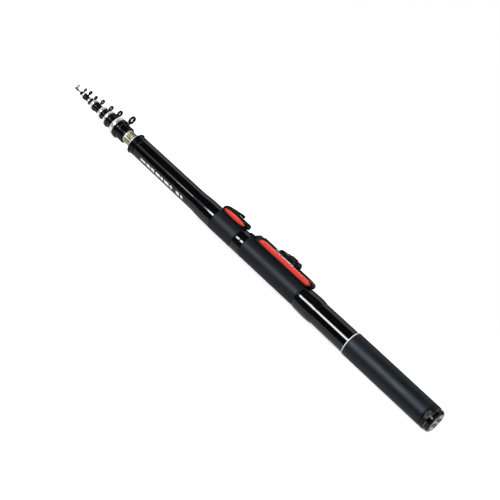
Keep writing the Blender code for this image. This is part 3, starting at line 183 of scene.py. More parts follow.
def axes_of(material):
    """The piece's own X, Y and Z in metres, which move with it."""
    return add(material, "SeparateXYZ", [add(material, "TexCoord").outputs["Object"]]).outputs


def grain(material, size_mm, detail=2.0, along=1.0, rough=0.5):
    """Soft noise with features of a real size, drawn out along the rod by a share below 1."""
    place = add(material, "TexCoord").outputs["Object"]
    place = add(material, "Mapping", {"Vector": place, "Scale": (along, 1.0, 1.0)})
    texture = {"Vector": place, "Scale": 1.0 / (size_mm * MM), "Detail": detail, "Roughness": rough}
    return add(material, "TexNoise", texture)


def rings(material, size_mm, distortion):
    """Bands across X whose spacing is a real size: turns of thread, or a turning tool's marks."""
    place = add(material, "TexCoord").outputs["Object"]
    texture = {
        "Vector": place, "Scale": WAVE_PERIOD / (size_mm * MM), "Distortion": distortion, "Detail": 2.0,
    }
    return add(material, "TexWave", texture, wave_type="BANDS", bands_direction="X").outputs["Fac"]


def vary(material, pattern, shades=None, gloss=None, depth_mm=None, strength=0.5, coat=False):
    """Lets a pattern tint the colour, spread the roughness and stand out by a real depth.

    The pattern's usable middle runs from the first to the second shade, and from the first to the
    second roughness. The relief is a bump on the surface, or on the clear coat over it.
    """
    if shades:
        ramp = add(material, "ValToRGB", [pattern])
        for element, position, shade in zip(ramp.color_ramp.elements, USABLE, shades):
            element.position = position
            element.color = linear(shade)
        feed(material, Base_Color=ramp)
    if gloss:
        ends = {"From Min": USABLE[0], "From Max": USABLE[1], "To Min": gloss[0], "To Max": gloss[1]}
        feed(material, Roughness=add(material, "MapRange", {"Value": pattern, **ends}))
    if depth_mm:
        relief = {"Height": pattern, "Strength": strength, "Distance": depth_mm * MM}
        feed(material, **{"Coat_Normal" if coat else "Normal": add(material, "Bump", relief)})


print("a pattern's values from", USABLE[0], "to", USABLE[1], "are used")


# %% [markdown]
# The blanks are tubes of rolled carbon and glass cloth under black lacquer. The lacquer is what the
# eye sees: nearly black, with one sharp streak of light and grey edges. So the cloth below has no
# shine of its own, and a clear coat gives it all. The fibres run lengthwise and show only as faint
# streaks, and the lacquer lies in very long, shallow waves.

# %% Lacquered carbon cloth
FIBRE_MM = 0.9        # a bundle of fibres, drawn coarser than life so that it shows
LACQUER_WAVE_MM = 9.0


def lacquered_carbon_cloth():
    """Streaked cloth without shine, under a clear coat that lies in long waves."""
    lacquer = {"Coat_Weight": 1.0, "Coat_Roughness": 0.035, "Coat_IOR": 1.5}
    cloth = new_material("lacquered_carbon_cloth", Specular_IOR_Level=0.0, **lacquer)
    vary(cloth, grain(cloth, FIBRE_MM, 3.0, 0.06), ("#050506", "#0B0B0D"))
    vary(cloth, grain(cloth, LACQUER_WAVE_MM, 1.0, 0.35), depth_mm=0.02, strength=0.35, coat=True)
    return cloth


LACQUERED_CLOTH = lacquered_carbon_cloth()


# %% [markdown]
# The grip is a sleeve of black shrink rubber. Its surface is finely grained all over, so it has no
# sharp highlight, only a broad grey sheen where the light meets it squarely. The buffer and the
# O-ring inside the cap are moulded from a greyer rubber, with a much finer grain.

# %% Grained rubber
GRAIN_MM = 1.9        # real grain is about 0.3 mm, which would not show
RUBBER_PATCH_MM = 16.0


def grained_rubber(name="grained_rubber", shades=("#030407", "#0C0E13"), grain_mm=GRAIN_MM):
    """Rubber mottled in large patches, with the grain as relief and a faint sheen."""
    sheen = {"Sheen_Weight": 0.06, "Sheen_Roughness": 0.35}
    rubber = new_material(name, Specular_IOR_Level=0.4, Specular_Tint=(0.76, 0.89, 1.0, 1.0), **sheen)
    vary(rubber, grain(rubber, RUBBER_PATCH_MM, 3.0, 0.5, 0.6), shades, (0.43, 0.55))
    vary(rubber, grain(rubber, grain_mm, 4.0, rough=0.65), depth_mm=0.3, strength=0.6)
    return rubber


GRIP_RUBBER = grained_rubber()
SEAL_RUBBER = grained_rubber("moulded_black_rubber", ("#0C0C0C", "#151515"), 0.5)


# %% [markdown]
# The seat's sleeves carry a soft-touch coating, sprayed on: matte, even, with a fine orange-peel
# grain and faint handling marks.

# %% Soft-touch coating
PEEL_MM = 1.6         # real orange peel is about 0.8 mm, drawn coarser so that it shows
HANDLING_MM = 18.0


def soft_touch_coating():
    """A matte coat with large, faint marks and a fine orange-peel relief."""
    sheen = {"Sheen_Weight": 0.13, "Sheen_Roughness": 0.27}
    coating = new_material(
        "soft_touch_coating", Specular_IOR_Level=0.22, Specular_Tint=(0.88, 0.94, 1.0, 1.0), **sheen
    )
    vary(coating, grain(coating, HANDLING_MM, 4.0, 0.4, 0.65), ("#101115", "#1A1B21"), (0.43, 0.53))
    vary(coating, grain(coating, PEEL_MM), depth_mm=0.07)
    return coating


SOFT_COATING = soft_touch_coating()


# %% [markdown]
# At the seat's ends the blank is bound with thread and flooded with varnish. The threads lie side by
# side round the rod and give a fine ribbing under a thick, glossy, slightly lumpy coat.

# %% Varnished thread
THREAD_MM = 0.8       # real thread is 0.3 mm thick, drawn coarser so that it shows
VARNISH_LUMP_MM = 7.0


def varnished_thread():
    """Rings of thread under a clear coat with soft lumps."""
    varnish = {"Coat_Weight": 1.0, "Coat_Roughness": 0.03, "Coat_IOR": 1.5}
    thread = new_material("varnished_thread", Roughness=0.4, Specular_IOR_Level=0.0, **varnish)
    vary(thread, rings(thread, THREAD_MM, 0.3), ("#040405", "#101013"), depth_mm=0.04, strength=0.4)
    vary(thread, grain(thread, VARNISH_LUMP_MM, 1.5), depth_mm=0.22, coat=True)
    return thread


VARNISHED_THREAD = varnished_thread()


# %% [markdown]
# Saddles, hoods and the lever are moulded in black glass-filled nylon. Moulding leaves a satin skin
# with a fine spark-eroded grain, a little rubbed in patches. The collars and their guides come
# from a polished mould, so they are the same nylon with a shiny skin.

# %% Moulded nylon
MOULD_GRAIN_MM = 0.9  # real spark-eroded grain is about 0.1 mm, which would not show
RUB_MM = 6.0


def moulded_nylon(name="moulded_nylon", gloss=(0.36, 0.5), grain_depth_mm=0.05, shine=0.08):
    """Nylon whose colour and gloss vary in patches, with the mould's grain as relief."""
    nylon = new_material(name, Specular_IOR_Level=shine)
    vary(nylon, grain(nylon, RUB_MM, 3.0), ("#040405", "#0A0A0B"), gloss)
    vary(nylon, grain(nylon, MOULD_GRAIN_MM, 3.0, rough=0.6), depth_mm=grain_depth_mm)
    return nylon


MOULDED_NYLON = moulded_nylon()
POLISHED_NYLON = moulded_nylon("polished_nylon", (0.05, 0.08), 0.004, 0.3)


# %% [markdown]
# The inlays are strips of aluminium, lacquered orange-red and clear-coated. Fine brushing runs along
# them under the colour, and the lacquer has run a little thinner, and so paler, in places.

# %% Orange lacquered strip
BRUSHING_MM = 0.9     # real brushing is about 0.05 mm, which would not show


def orange_lacquer():
    """Brushing along the rod that shades the colour, spreads the gloss and stands out a little."""
    lacquer = new_material("orange_lacquer", Specular_IOR_Level=0.1, Coat_Weight=0.15, Coat_Roughness=0.12)
    brushing = grain(lacquer, BRUSHING_MM, 3.0, 0.03)
    vary(lacquer, brushing, ("#C2200D", "#D4301A"), (0.34, 0.46), 0.01, 0.3)
    return lacquer


ORANGE_LACQUER = orange_lacquer()


# %% [markdown]
# Bright parts are of three kinds. The runner is brushed steel, blacked all over and rubbed bright
# along its lower edges, where it rides on the rail. The end rings are turned and polished
# aluminium, with faint turning marks round the axis. The first section's sleeve is aluminium, drawn
# through a die and anodised champagne, so fine lines run along it.

# %% Bright metals
TURNING_MM = 0.7      # a turning tool leaves 0.1 mm rings, drawn coarser so that they show
DRAWING_MM = 1.2      # the die's lines are about 0.1 mm apart, which would not show
STEEL_LINE_MM = 0.8   # brushed lines, drawn coarser than life as well
RUBBED_BELOW = 18.66  # mm above the rod's axis: the lower edges of the runner are bright
RAGGED_MM = 0.3       # how far the brushed lines move the rubbed edge up and down
RUBBED_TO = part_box("slide_hood")[1].x    # metres along the rod: no further forward than the hood


def rubbed_black_steel():
    """Bare below an edge that the brushed lines make a little ragged, black above and ahead."""
    steel = new_material("rubbed_black_steel")
    lines = grain(steel, STEEL_LINE_MM, 4.0, 0.03)
    vary(steel, lines, gloss=(0.2, 0.38), depth_mm=0.01, strength=0.4)
    axes = axes_of(steel)
    edge = add(steel, "Math", [lines, RAGGED_MM * MM, axes["Z"]], operation="MULTIPLY_ADD")
    fade = {"From Min": (RUBBED_BELOW + 0.1) * MM, "From Max": (RUBBED_BELOW + 0.22) * MM}
    above = add(steel, "MapRange", {"Value": edge, **fade})
    ahead = add(steel, "Math", [axes["X"], RUBBED_TO], operation="GREATER_THAN")
    black = add(steel, "Math", [above, ahead], operation="MAXIMUM")
    vary(steel, black, ("#E4E5E8", "#0A0A0B"))
    feed(steel, Metallic=add(steel, "Math", [1.0, black], operation="SUBTRACT"))
    return steel


def polished_aluminium():
    """Polished metal with a turning tool's rings in its gloss and relief."""
    metal = new_material("turned_polished_aluminium", Base_Color=linear("#F5F3F0"), Metallic=0.72)
    vary(metal, rings(metal, TURNING_MM, 1.5), gloss=(0.16, 0.28), depth_mm=0.008, strength=0.4)
    return metal


def champagne_aluminium():
    """The die's lines in colour, gloss and relief. cut_bright sets how metallic it is, further on."""
    metal = new_material("champagne_anodised_aluminium")
    vary(metal, grain(metal, DRAWING_MM, 2.0, 0.04), ("#8C8470", "#C4BBA2"), (0.24, 0.38), 0.03)
    return metal


RUBBED_STEEL = rubbed_black_steel()
POLISHED_ALUMINIUM = polished_aluminium()
CHAMPAGNE_METAL = champagne_aluminium()


# %% [markdown]
# The cap is turned from aluminium and anodised black: a satin skin that still shows the tool's
# rings. The mouth ring is dipped bright first, so it shines like the lacquer, and the small tip top
# is anodised grey.

# %% Black anodised aluminium
def black_anodised(name, gloss, depth_mm=0.006, shades=("#08080A", "#101113"), shine=0.2):
    """Dark metal with a turning tool's rings in its colour, gloss and relief."""
    metal = new_material(name, Metallic=0.2, Specular_IOR_Level=shine)
    vary(metal, rings(metal, TURNING_MM, 1.5), shades, gloss, depth_mm, 0.3)
    return metal


BLACK_ANODISED = black_anodised("black_anodised_aluminium", (0.17, 0.28))
BRIGHT_DIPPED = black_anodised("black_bright_dipped_aluminium", (0.05, 0.08), 0.001)
GREY_ANODISED = black_anodised("grey_anodised_aluminium", (0.2, 0.3), shades=("#4A4A4C", "#6C6C6E"))


# %% [markdown]
# The guides' linings are dark ceramic, ground and polished. The grip's trim ring is white ABS with
# a moulded, half-matte skin, and the marks on the butt are thin foil, pressed on hot. None of them
# has a grain that the eye could see, only a faint mottling of colour and gloss.

# %% Ceramic, white plastic and foil
def mottled(name, size_mm, detail, shades, gloss, **inputs):
    """A plain skin that varies between two shades and two roughnesses over a real size."""
    material = new_material(name, **inputs)
    vary(material, grain(material, size_mm, detail), shades, gloss)
    return material


CERAMIC = mottled(
    "polished_ceramic", 1.2, 3.0, ("#131316", "#1E1E22"), (0.1, 0.16), Specular_IOR_Level=0.6
)
WHITE_ABS = mottled("white_abs", 3.0, 2.0, ("#E8E8E6", "#F4F4F2"), (0.3, 0.4))
GOLD_FOIL = mottled("gold_foil", 1.5, 3.0, ("#FFF0C8", "#FFFBE8"), (0.26, 0.4), Metallic=0.15)
WHITE_FOIL = mottled("white_foil", 1.5, 3.0, ("#F8F8F8", "#FFFFFF"), (0.26, 0.4))


# %% [markdown]
# The badge in the cap's end is aluminium, etched grey-green, with sunk fields painted a dull black.
# Its pattern is a plain rosette: four sunk petals round a boss, inside a ring. The same numbers place
# the petals in the material here and in the badge's surface further on.

# %% Etched badge
PETALS = 4
PETAL_TURN = math.pi / 4.0      # the petals stand diagonally
PETAL_INNER = 1.2
PETAL_OUTER = 8.2
PETAL_NARROW = -0.45            # how far cos(n a) falls before a petal ends
PETAL_ROUND = 6.0               # the power that rounds the petals' outer ends
ETCH_MM = 1.2                   # real etching is about 0.2 mm, which would not show


def source_of(material, name):
    """The output that feeds one input of the material's shader."""
    return material.node_tree.nodes["Principled BSDF"].inputs[name].links[0].from_socket


def overlay(material, mask, colour, metallic):
    """Another colour where the mask is 1, and the two metallic values off and on it."""
    layers = {0: mask, 6: source_of(material, "Base Color"), 7: linear(colour)}
    mixed = add(material, "Mix", layers, data_type="RGBA").outputs[2]
    metal = add(material, "MapRange", {"Value": mask, "To Min": metallic[0], "To Max": metallic[1]})
    feed(material, Base_Color=mixed, Metallic=metal)


def etched_badge():
    """Black beyond the boss where cos(n a) is above narrow + (1 - narrow) (r / outer)^p."""
    badge = new_material("etched_aluminium", Specular_IOR_Level=0.1)
    vary(badge, grain(badge, ETCH_MM, 4.0, rough=0.65), ("#9CA8A1", "#CDD5CF"), (0.34, 0.5), 0.02, 0.4)
    axes = axes_of(badge)
    flat = add(badge, "CombineXYZ", [0.0, axes["Y"], axes["Z"]])
    radius = add(badge, "VectorMath", [flat], operation="LENGTH").outputs["Value"]
    angle = add(badge, "Math", [axes["Z"], axes["Y"]], operation="ARCTAN2")
    turns = add(badge, "Math", [angle, float(PETALS), PETALS * PETAL_TURN], operation="MULTIPLY_ADD")
    wave = add(badge, "Math", [turns], operation="COSINE")
    share = add(badge, "Math", [radius, PETAL_OUTER * MM], operation="DIVIDE")
    ends = add(badge, "Math", [share, PETAL_ROUND], operation="POWER")
    ends = add(badge, "Math", [ends, 1.0 - PETAL_NARROW, PETAL_NARROW], operation="MULTIPLY_ADD")
    beyond = add(badge, "Math", [radius, PETAL_INNER * MM], operation="GREATER_THAN")
    above = add(badge, "Math", [wave, ends], operation="GREATER_THAN")
    petals = add(badge, "Math", [beyond, above], operation="MULTIPLY")
    overlay(badge, petals, "#040505", (0.6, 0.0))
    dull = add(badge, "Math", [source_of(badge, "Roughness"), petals], operation="MAXIMUM")
    feed(badge, Roughness=dull)
    return badge


ETCHED_BADGE = etched_badge()


# %% [markdown]
# Some edges are cut bright after anodising, by a last pass of the tool: the colour is gone there
# and bare metal shows. Where that is, X alone tells.

# %% Bright cuts
def cut_bright(material, low_mm, high_mm, colour, metallic, outside=False):
    """Bare metal where X lies between two places, or outside them: |x - middle| < half."""
    middle = (low_mm + high_mm) / 2.0 * MM
    away = add(material, "Math", [axes_of(material)["X"], middle], operation="SUBTRACT")
    away = add(material, "Math", [away], operation="ABSOLUTE")
    test = "GREATER_THAN" if outside else "LESS_THAN"
    bare = add(material, "Math", [away, (high_mm - low_mm) / 2.0 * MM], operation=test)
    overlay(material, bare, colour, metallic)


def smoother_below(material, x_mm, roughness):
    """The roughness held at one low value where X lies below a place."""
    ahead = add(material, "Math", [axes_of(material)["X"], x_mm * MM], operation="GREATER_THAN")
    kept = add(material, "Math", [source_of(material, "Roughness"), ahead], operation="MULTIPLY")
    feed(material, Roughness=add(material, "Math", [kept, roughness], operation="MAXIMUM"))


# %% [markdown]
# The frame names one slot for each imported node, and each slot gets its finish here. The finishes
# left over are for pieces whose skin differs from the rest of their slot.

# %% Finishes
FINISHES = {
    "lacquered_blank": LACQUERED_CLOTH,
    "grip_rubber": GRIP_RUBBER,
    "seat_coating": SOFT_COATING,
    "wrap_varnish": VARNISHED_THREAD,
    "seat_plastic": MOULDED_NYLON,
    "inlay_orange": ORANGE_LACQUER,
    "white_plastic": WHITE_ABS,
    "black_metal": BLACK_ANODISED,
    "bright_steel": RUBBED_STEEL,
    "polished_aluminium": POLISHED_ALUMINIUM,
    "champagne_metal": CHAMPAGNE_METAL,
    "guide_ceramic": CERAMIC,
    "badge_metal": ETCHED_BADGE,
    "black_rubber": SEAL_RUBBER,
}
print("a finish for each of", len(FINISHES), "slots")

# The nodes that stay as they are packed get their finish here too.
for part in frame["record"]["subparts"]:
    node = frame["nodes"][part["node"]]
    node.data.materials.clear()
    node.data.materials.append(FINISHES[part["material_slot"]])


# %% [markdown]
# Most of the rod is turned: a profile carried round the X axis. A profile is an outline in
# (x, radius). Its corners are eased first, because a real edge is never sharp and catches a thin
# line of light. The rest are rows of cross-sections along an axis. All points of a surface are
# worked out at once on a grid: a column of stations by a row of outline points.

# %% Outlines and grids
def joined(*axes):
    """Coordinates joined to points, with a single row or column spread over the grid."""
    return np.stack(np.broadcast_arrays(*axes), axis=-1)


def ease(points, reach, steps=4, closed=True):
    """The outline with each corner rounded.

    A corner C is replaced by the curve (1-t)^2 A + 2t(1-t) C + t^2 B, where A and B lie on its two
    edges at the given reach, or at 0.4 of a shorter edge. An open outline keeps its two ends.
    """
    points = np.asarray(points, float)
    ends = []
    for turn in (1, -1):
        edge = np.roll(points, turn, axis=0) - points
        length = np.linalg.norm(edge, axis=1, keepdims=True)
        ends.append((points + edge / length * np.minimum(reach, 0.4 * length))[:, None])
    t = np.linspace(0.0, 1.0, steps + 1)[None, :, None]
    curve = (1 - t) ** 2 * ends[0] + 2 * t * (1 - t) * points[:, None] + t ** 2 * ends[1]
    if closed:
        return curve.reshape(-1, 2)
    return np.concatenate([points[:1], curve[1:-1].reshape(-1, 2), points[-1:]])


def grid_faces(rows, columns, wrap_rows=False, wrap_columns=True):
    """Quads between neighbouring points of a grid, as four indices a face."""
    row = np.arange(rows if wrap_rows else rows - 1)
    column = np.arange(columns if wrap_columns else columns - 1)
    row, column = np.meshgrid(row, column, indexing="ij")
    next_row = (row + 1) % rows
    next_column = (column + 1) % columns
    quads = [row * columns + column, row * columns + next_column]
    quads += [next_row * columns + next_column, next_row * columns + column]
    return np.stack(quads, axis=-1).reshape(-1, 4).tolist()


def turned(profile, sides=128, centre_z=0.0, shape=None):
    """The shell of a turned body: point (x, r cos a, r sin a), with a grid of profile by angle a.

    A profile that starts and ends on the axis closes there with one point. Any other is a loop. The
    shape function, if there is one, takes (x, r, a) and gives new values of x and r.
    """
    profile = np.asarray(profile, float)
    solid = profile[0, 1] == 0.0
    ring = profile[1:-1] if solid else profile
    angle = np.linspace(0.0, 2.0 * math.pi, sides, endpoint=False)
    x, radius = ring[:, :1], ring[:, 1:]
    if shape is not None:
        x, radius = shape(x, radius, angle)
    points = joined(x, radius * np.cos(angle), radius * np.sin(angle)).reshape(-1, 3)
    faces = grid_faces(len(ring), sides, wrap_rows=not solid)
    if solid:
        first = len(points)
        poles = joined(profile[[0, -1], 0], 0.0, 0.0)
        points = np.concatenate([points, poles])
        start = (len(ring) - 1) * sides
        faces += [[first, (i + 1) % sides, i] for i in range(sides)]
        faces += [[first + 1, start + i, start + (i + 1) % sides] for i in range(sides)]
    return points + (0.0, 0.0, centre_z), faces


def carried(stations):
    """The shell of a body given as a grid of stations by outline points, capped at both ends."""
    rows, count = stations.shape[:2]
    faces = grid_faces(rows, count)
    faces.append(list(range(count))[::-1])
    faces.append([(rows - 1) * count + i for i in range(count)])
    return stations.reshape(-1, 3), faces


print("a square has 4 corners and, eased,", len(ease([(0, 1), (1, 1), (1, 2), (0, 2)], 0.2)), "points")


# %% [markdown]
# A shell becomes a piece in one function: doubles are merged, because a seam or a pole that only
# looks closed would shade as an edge, and faces are turned outwards. Then the piece is hung on the
# body that it rides on, takes its slot's finish or its own, and hides the imported nodes that it
# stands for.

# %% Pieces from shells
SHARP_ABOVE = math.radians(50)    # an edge turned by more than this is not shaded round
BEVEL_ABOVE = math.radians(40)    # and one by more than this is eased, where a piece has a bevel
MERGE_WITHIN = 0.000001           # metres


def make_piece(name, shells, body, slot, *nodes, finish=None, bevel_mm=0.0):
    """One mesh object from shells of (points in mm, faces), dressed for its body."""
    points = []
    faces = []
    for shell_points, shell_faces in shells:
        offset = sum(len(part) for part in points)
        points.append(shell_points)
        faces += [[index + offset for index in face] for face in shell_faces]
    mesh = bpy.data.meshes.new(name)
    mesh.from_pydata((np.concatenate(points) * MM).tolist(), [], faces)
    bm = bmesh.new()
    bm.from_mesh(mesh)
    bmesh.ops.remove_doubles(bm, verts=bm.verts, dist=MERGE_WITHIN)
    bmesh.ops.recalc_face_normals(bm, faces=bm.faces)
    bm.to_mesh(mesh)
    bm.free()
    mesh.shade_smooth()
    mesh.set_sharp_from_angle(angle=SHARP_ABOVE)
    obj = put(name, mesh)
    if bevel_mm > 0.0:
        bevel = obj.modifiers.new("eased_edges", "BEVEL")
        bevel.width = bevel_mm * MM
        bevel.segments = 3
        bevel.limit_method = "ANGLE"
        bevel.angle_limit = BEVEL_ABOVE
        bevel.harden_normals = True
    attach(obj, body)
    if nodes:
        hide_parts(*nodes)
    mesh.materials.append(finish or FINISHES[slot])
    print(name, "has", len(mesh.polygons), "faces")


# %% [markdown]
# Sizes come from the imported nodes' boxes. A turned node has flat facets, so its box is a little
# narrower than its true radius, and the share is known from the number of facets.

# %% Sizes from the frame
FACETS = 24


def span(node):
    """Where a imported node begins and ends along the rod, in mm."""
    low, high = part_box(node)
    return low.x / MM, high.x / MM


def height_of(node):
    """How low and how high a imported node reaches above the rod's axis, in mm."""
    low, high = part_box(node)
    return low.z / MM, high.z / MM


def half_width(node):
    """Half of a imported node's width across the rod, in mm."""
    low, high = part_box(node)
    return (high.y - low.y) / 2.0 / MM


def radius_of(node):
    """True radius of a packed turned node."""
    return half_width(node) / math.cos(math.pi / FACETS)


BUTT_START, BUTT_END = span("butt_blank")
GRIP_HIGH = span("rear_grip")[1]
REAR_WRAP = span("rear_wrap")
BINDING_END = REAR_WRAP[1] + 4.0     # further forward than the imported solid, as in the photograph
MIDDLE_WRAP = span("middle_wrap")
SLEEVE_END = span("front_seat_sleeve")[1]
MOUTH_RING = span("mouth_ring")
GRIP_R = radius_of("rear_grip")
SLEEVE_R = radius_of("rear_seat_sleeve")
print("butt from", round(BUTT_START, 1), "to", round(BUTT_END, 1), "mm, grip", round(GRIP_R, 2), "mm")


# %% [markdown]
# The butt blank swells and narrows along its length: full at the grip, thinner under the reel seat,
# a smooth shoulder ahead of it, and a long taper to the mouth. The outside is one line through those
# places, smoothed over a few millimetres as the cloth smooths it when it is rolled on.

# %% Butt blank
BLANK_R = 13.4
SEAT_BLANK_R = 12.3
WRAP_BLANK_R = 13.1
MOUTH_R = 11.4
NECK_R = MOUTH_R - 0.6     # under the mouth ring
BORE_R = 10.59
RING_SEAT = 7.3            # how much of the blank the mouth ring covers
REBATE = BUTT_END - RING_SEAT
FERRULE_SEAT = (24.6, 12.34)     # how far the ferrule's seat goes in, and its radius
BLANK_KNOTS = (
    (BUTT_START, BLANK_R),
    (GRIP_HIGH + 1.3, BLANK_R),
    (REAR_WRAP[0] - 0.3, WRAP_BLANK_R),
    (REAR_WRAP[0] + 11.5, SEAT_BLANK_R),
    (SLEEVE_END + 0.1, SEAT_BLANK_R),
)
SHOULDER_KNOTS = (
    (SLEEVE_END + 0.3, SLEEVE_R),
    (SLEEVE_END + 17.3, 12.75),
    (SLEEVE_END + 30.3, 11.8),
    (REBATE, MOUTH_R),
)


def smooth_line(x, knots, blur):
    """Height at x of a line through (x, height) knots, averaged over a window of 2 x blur."""
    knots = np.asarray(knots, float)
    offsets = np.linspace(-1.0, 1.0, 13)
    weights = 1.0 - offsets ** 2
    samples = np.interp(x[..., None] + offsets * blur, knots[:, 0], knots[:, 1])
    return (samples * weights).sum(axis=-1) / weights.sum()


def blank_radius(x):
    """Outside radius of the butt blank at x."""
    rear = smooth_line(x, BLANK_KNOTS, 2.0)
    front = smooth_line(x, SHOULDER_KNOTS, 6.0)
    return np.where(x < SHOULDER_KNOTS[0][0], rear, front)


def make_butt_blank():
    """The outside line from mouth to butt, and the bore with the ferrule's seat."""
    step = SHOULDER_KNOTS[0][0]
    front = np.linspace(REBATE - 0.1, step + 0.4, 150)
    x = np.concatenate([front, np.linspace(step - 0.1, BUTT_START + 0.1, 120)])
    mouth = [(BUTT_END, BORE_R), (BUTT_END, NECK_R), (REBATE, NECK_R), (REBATE, MOUTH_R - 0.05)]
    seat_end, seat_r = FERRULE_SEAT
    bore = [(BUTT_START, BLANK_R - 0.15), (BUTT_START, seat_r), (seat_end, seat_r), (seat_end, BORE_R)]
    profile = np.concatenate([mouth, joined(x, blank_radius(x)), bore])
    make_piece("butt_blank_tube", [turned(profile, 160)], "butt", "lacquered_blank", "butt_blank")


make_butt_blank()


# %% [markdown]
# The mouth ring is a thin black ring over the blank's end. Its front edge flares to a narrow lip,
# which is what stops the first section's collar when the rod is closed.

# %% Mouth ring
def make_mouth_ring():
    """A thin wall, a flare of 1.5 mm, and the lip, which closes over the blank's end."""
    low, high = MOUTH_RING
    lip = radius_of("mouth_ring")
    wall = MOUTH_R + 0.02
    inner = MOUTH_R - 0.4
    lip_start = BUTT_END + 0.3
    outline = [
        (high, lip - 0.3), (high - 0.25, lip), (lip_start + 0.1, lip), (lip_start - 1.4, wall),
        (lip_start - 1.9, wall), (low + 0.5, wall), (low, wall), (low, inner), (lip_start, inner),
        (lip_start, BORE_R), (high, BORE_R),
    ]
    shell = turned(ease(outline, 0.2), 160)
    make_piece("mouth_lip_ring", [shell], "butt", "black_metal", "mouth_ring", finish=BRIGHT_DIPPED)


make_mouth_ring()


# %% [markdown]
# The grip's sleeve is shrunk on, so its edges are round and it follows the blank's slight unevenness.
# A white ring closes its front end. The photograph shows the rear seat sleeve starting 4 mm further
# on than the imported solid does, with the varnished binding up to it, so the two meet there.

# %% Grip, trim ring and seat sleeves
SLEEVE_WALL = 0.45
GRIP_WAVE = 0.03     # mm


def sleeve(low, high, outside, inner, edge, count):
    """Profile of a tube with bevelled ends, its outside a number or a function of x."""
    x = np.linspace(high - edge, low + edge, count)
    outer = outside(x) if callable(outside) else np.full(count, outside)
    ends = [(low, outer[-1] - edge), (low, inner), (high, inner), (high, outer[0] - edge)]
    return np.concatenate([joined(x, outer), ends])


def uneven(x, radius, angle):
    """The grip's outside raised and lowered by two long waves along the rod."""
    wave = GRIP_WAVE * (np.sin(x * 0.21) + np.sin(x * 0.093 + 1.0)) / 2.0
    return x, np.where(radius == GRIP_R, radius + wave, radius)


def make_sleeve(name, node, slot, start=None, edge=0.15, shape=None):
    """A packed tube turned anew, from its own rear end or from the start given for it."""
    low, high = span(node)
    outer = radius_of(node)
    profile = sleeve(start or low, high, outer, outer - SLEEVE_WALL, edge, 60)
    make_piece(name, [turned(profile, 160, shape=shape)], "butt", slot, node)


make_sleeve("grip_sleeve", "rear_grip", "grip_rubber", edge=0.35, shape=uneven)
make_sleeve("front_trim_ring", "grip_trim_ring", "white_plastic")
make_sleeve("rear_seat_sleeve_tube", "rear_seat_sleeve", "seat_coating", BINDING_END + 0.3)
make_sleeve("front_seat_sleeve_tube", "front_seat_sleeve", "seat_coating")


# %% [markdown]
# The two varnished bindings. The rear one swells over the blank's step in a long, low hump. The
# middle one is a plain band whose varnish has drawn up into a crown and pulled in at its edges.

# %% Varnished bindings
REAR_BLUR = 1.8
MIDDLE_BLUR = 1.2
REAR_CROWN = radius_of("rear_wrap")
MIDDLE_CROWN = radius_of("middle_wrap")
REAR_KNOTS = (
    (REAR_WRAP[0], WRAP_BLANK_R + 0.35),
    (REAR_WRAP[0] + 5.5, REAR_CROWN + 0.05),
    (REAR_WRAP[0] + 12.0, REAR_CROWN),
    (BINDING_END - 3.0, REAR_CROWN - 0.5),
    (BINDING_END, SLEEVE_R + 0.05),
)
MIDDLE_KNOTS = (
    (MIDDLE_WRAP[0], MIDDLE_CROWN - 0.25),
    (MIDDLE_WRAP[0] + 1.2, MIDDLE_CROWN - 0.02),
    (MIDDLE_WRAP[0] + 3.5, MIDDLE_CROWN + 0.08),
    (MIDDLE_WRAP[0] + 6.0, MIDDLE_CROWN - 0.1),
    (MIDDLE_WRAP[1] - 3.0, MIDDLE_CROWN + 0.06),
    (MIDDLE_WRAP[1] - 1.2, MIDDLE_CROWN),
    (MIDDLE_WRAP[1], MIDDLE_CROWN - 0.25),
)


def make_binding(name, node, knots, blur):
    """A tube with the line through the knots outside; the first and last knot are its ends."""
    low, high = knots[0][0], knots[-1][0]
    profile = sleeve(low, high, lambda x: smooth_line(x, knots, blur), SEAT_BLANK_R + 0.1, 0.1, 90)
    make_piece(name, [turned(profile, 160)], "butt", "wrap_varnish", node)


make_binding("rear_binding", "rear_wrap", REAR_KNOTS, REAR_BLUR)
make_binding("middle_binding", "middle_wrap", MIDDLE_KNOTS, MIDDLE_BLUR)


# %% [markdown]
# Ahead of the reel seat a maker prints the rod's name. Here that place carries only an ornament: a
# short gold bar and a row of slanted white bars, laid on the blank as thin foil.

# %% Foil marks
FOIL_ANGLE = 133.5      # degrees round the rod, from the top towards the camera's side and down
FOIL_UNDER = 0.01       # mm over the blank: the foil's lower and upper face
FOIL_PROUD = 0.06
FOIL_SLANT = 0.5        # how far a bar's end leans, as a share of the bar's height
GOLD_HEIGHT = 2.4
WHITE_HEIGHT = 2.9
GOLD_BAR = (426.5, 434.5)
WHITE_BARS = (
    (419.0, 424.5), (412.0, 417.5), (403.0, 409.5), (397.5, 401.5), (388.5, 395.5), (383.0, 386.5),
    (371.5, 376.5), (366.0, 369.5),
)


def make_foil(name, ends, height, slot, finish):
    """A thin sheet: point (x + slant h, r sin a, -r cos a), with r the blank's radius and a little.

    h runs over the sheet's height round the rod, and a is the angle that goes with it.
    """
    up = np.linspace(-0.5, 0.5, 7) * height
    x = np.linspace(*ends, 12)[:, None] + FOIL_SLANT * up
    angle = math.radians(180.0 - FOIL_ANGLE) + up / MOUTH_R
    faces = []
    for lift in (FOIL_UNDER, FOIL_PROUD):
        radius = blank_radius(x) + lift
        faces.append(joined(x, radius * np.sin(angle), -radius * np.cos(angle)))
    shell = carried(np.hstack([faces[0], faces[1][:, ::-1]]))
    make_piece(name, [shell], "butt", slot, finish=finish)


make_foil("gold_bar", GOLD_BAR, GOLD_HEIGHT, "champagne_metal", GOLD_FOIL)
for number, bar in enumerate(WHITE_BARS):
    make_foil("white_bar_" + str(number), bar, WHITE_HEIGHT, "white_plastic", WHITE_FOIL)


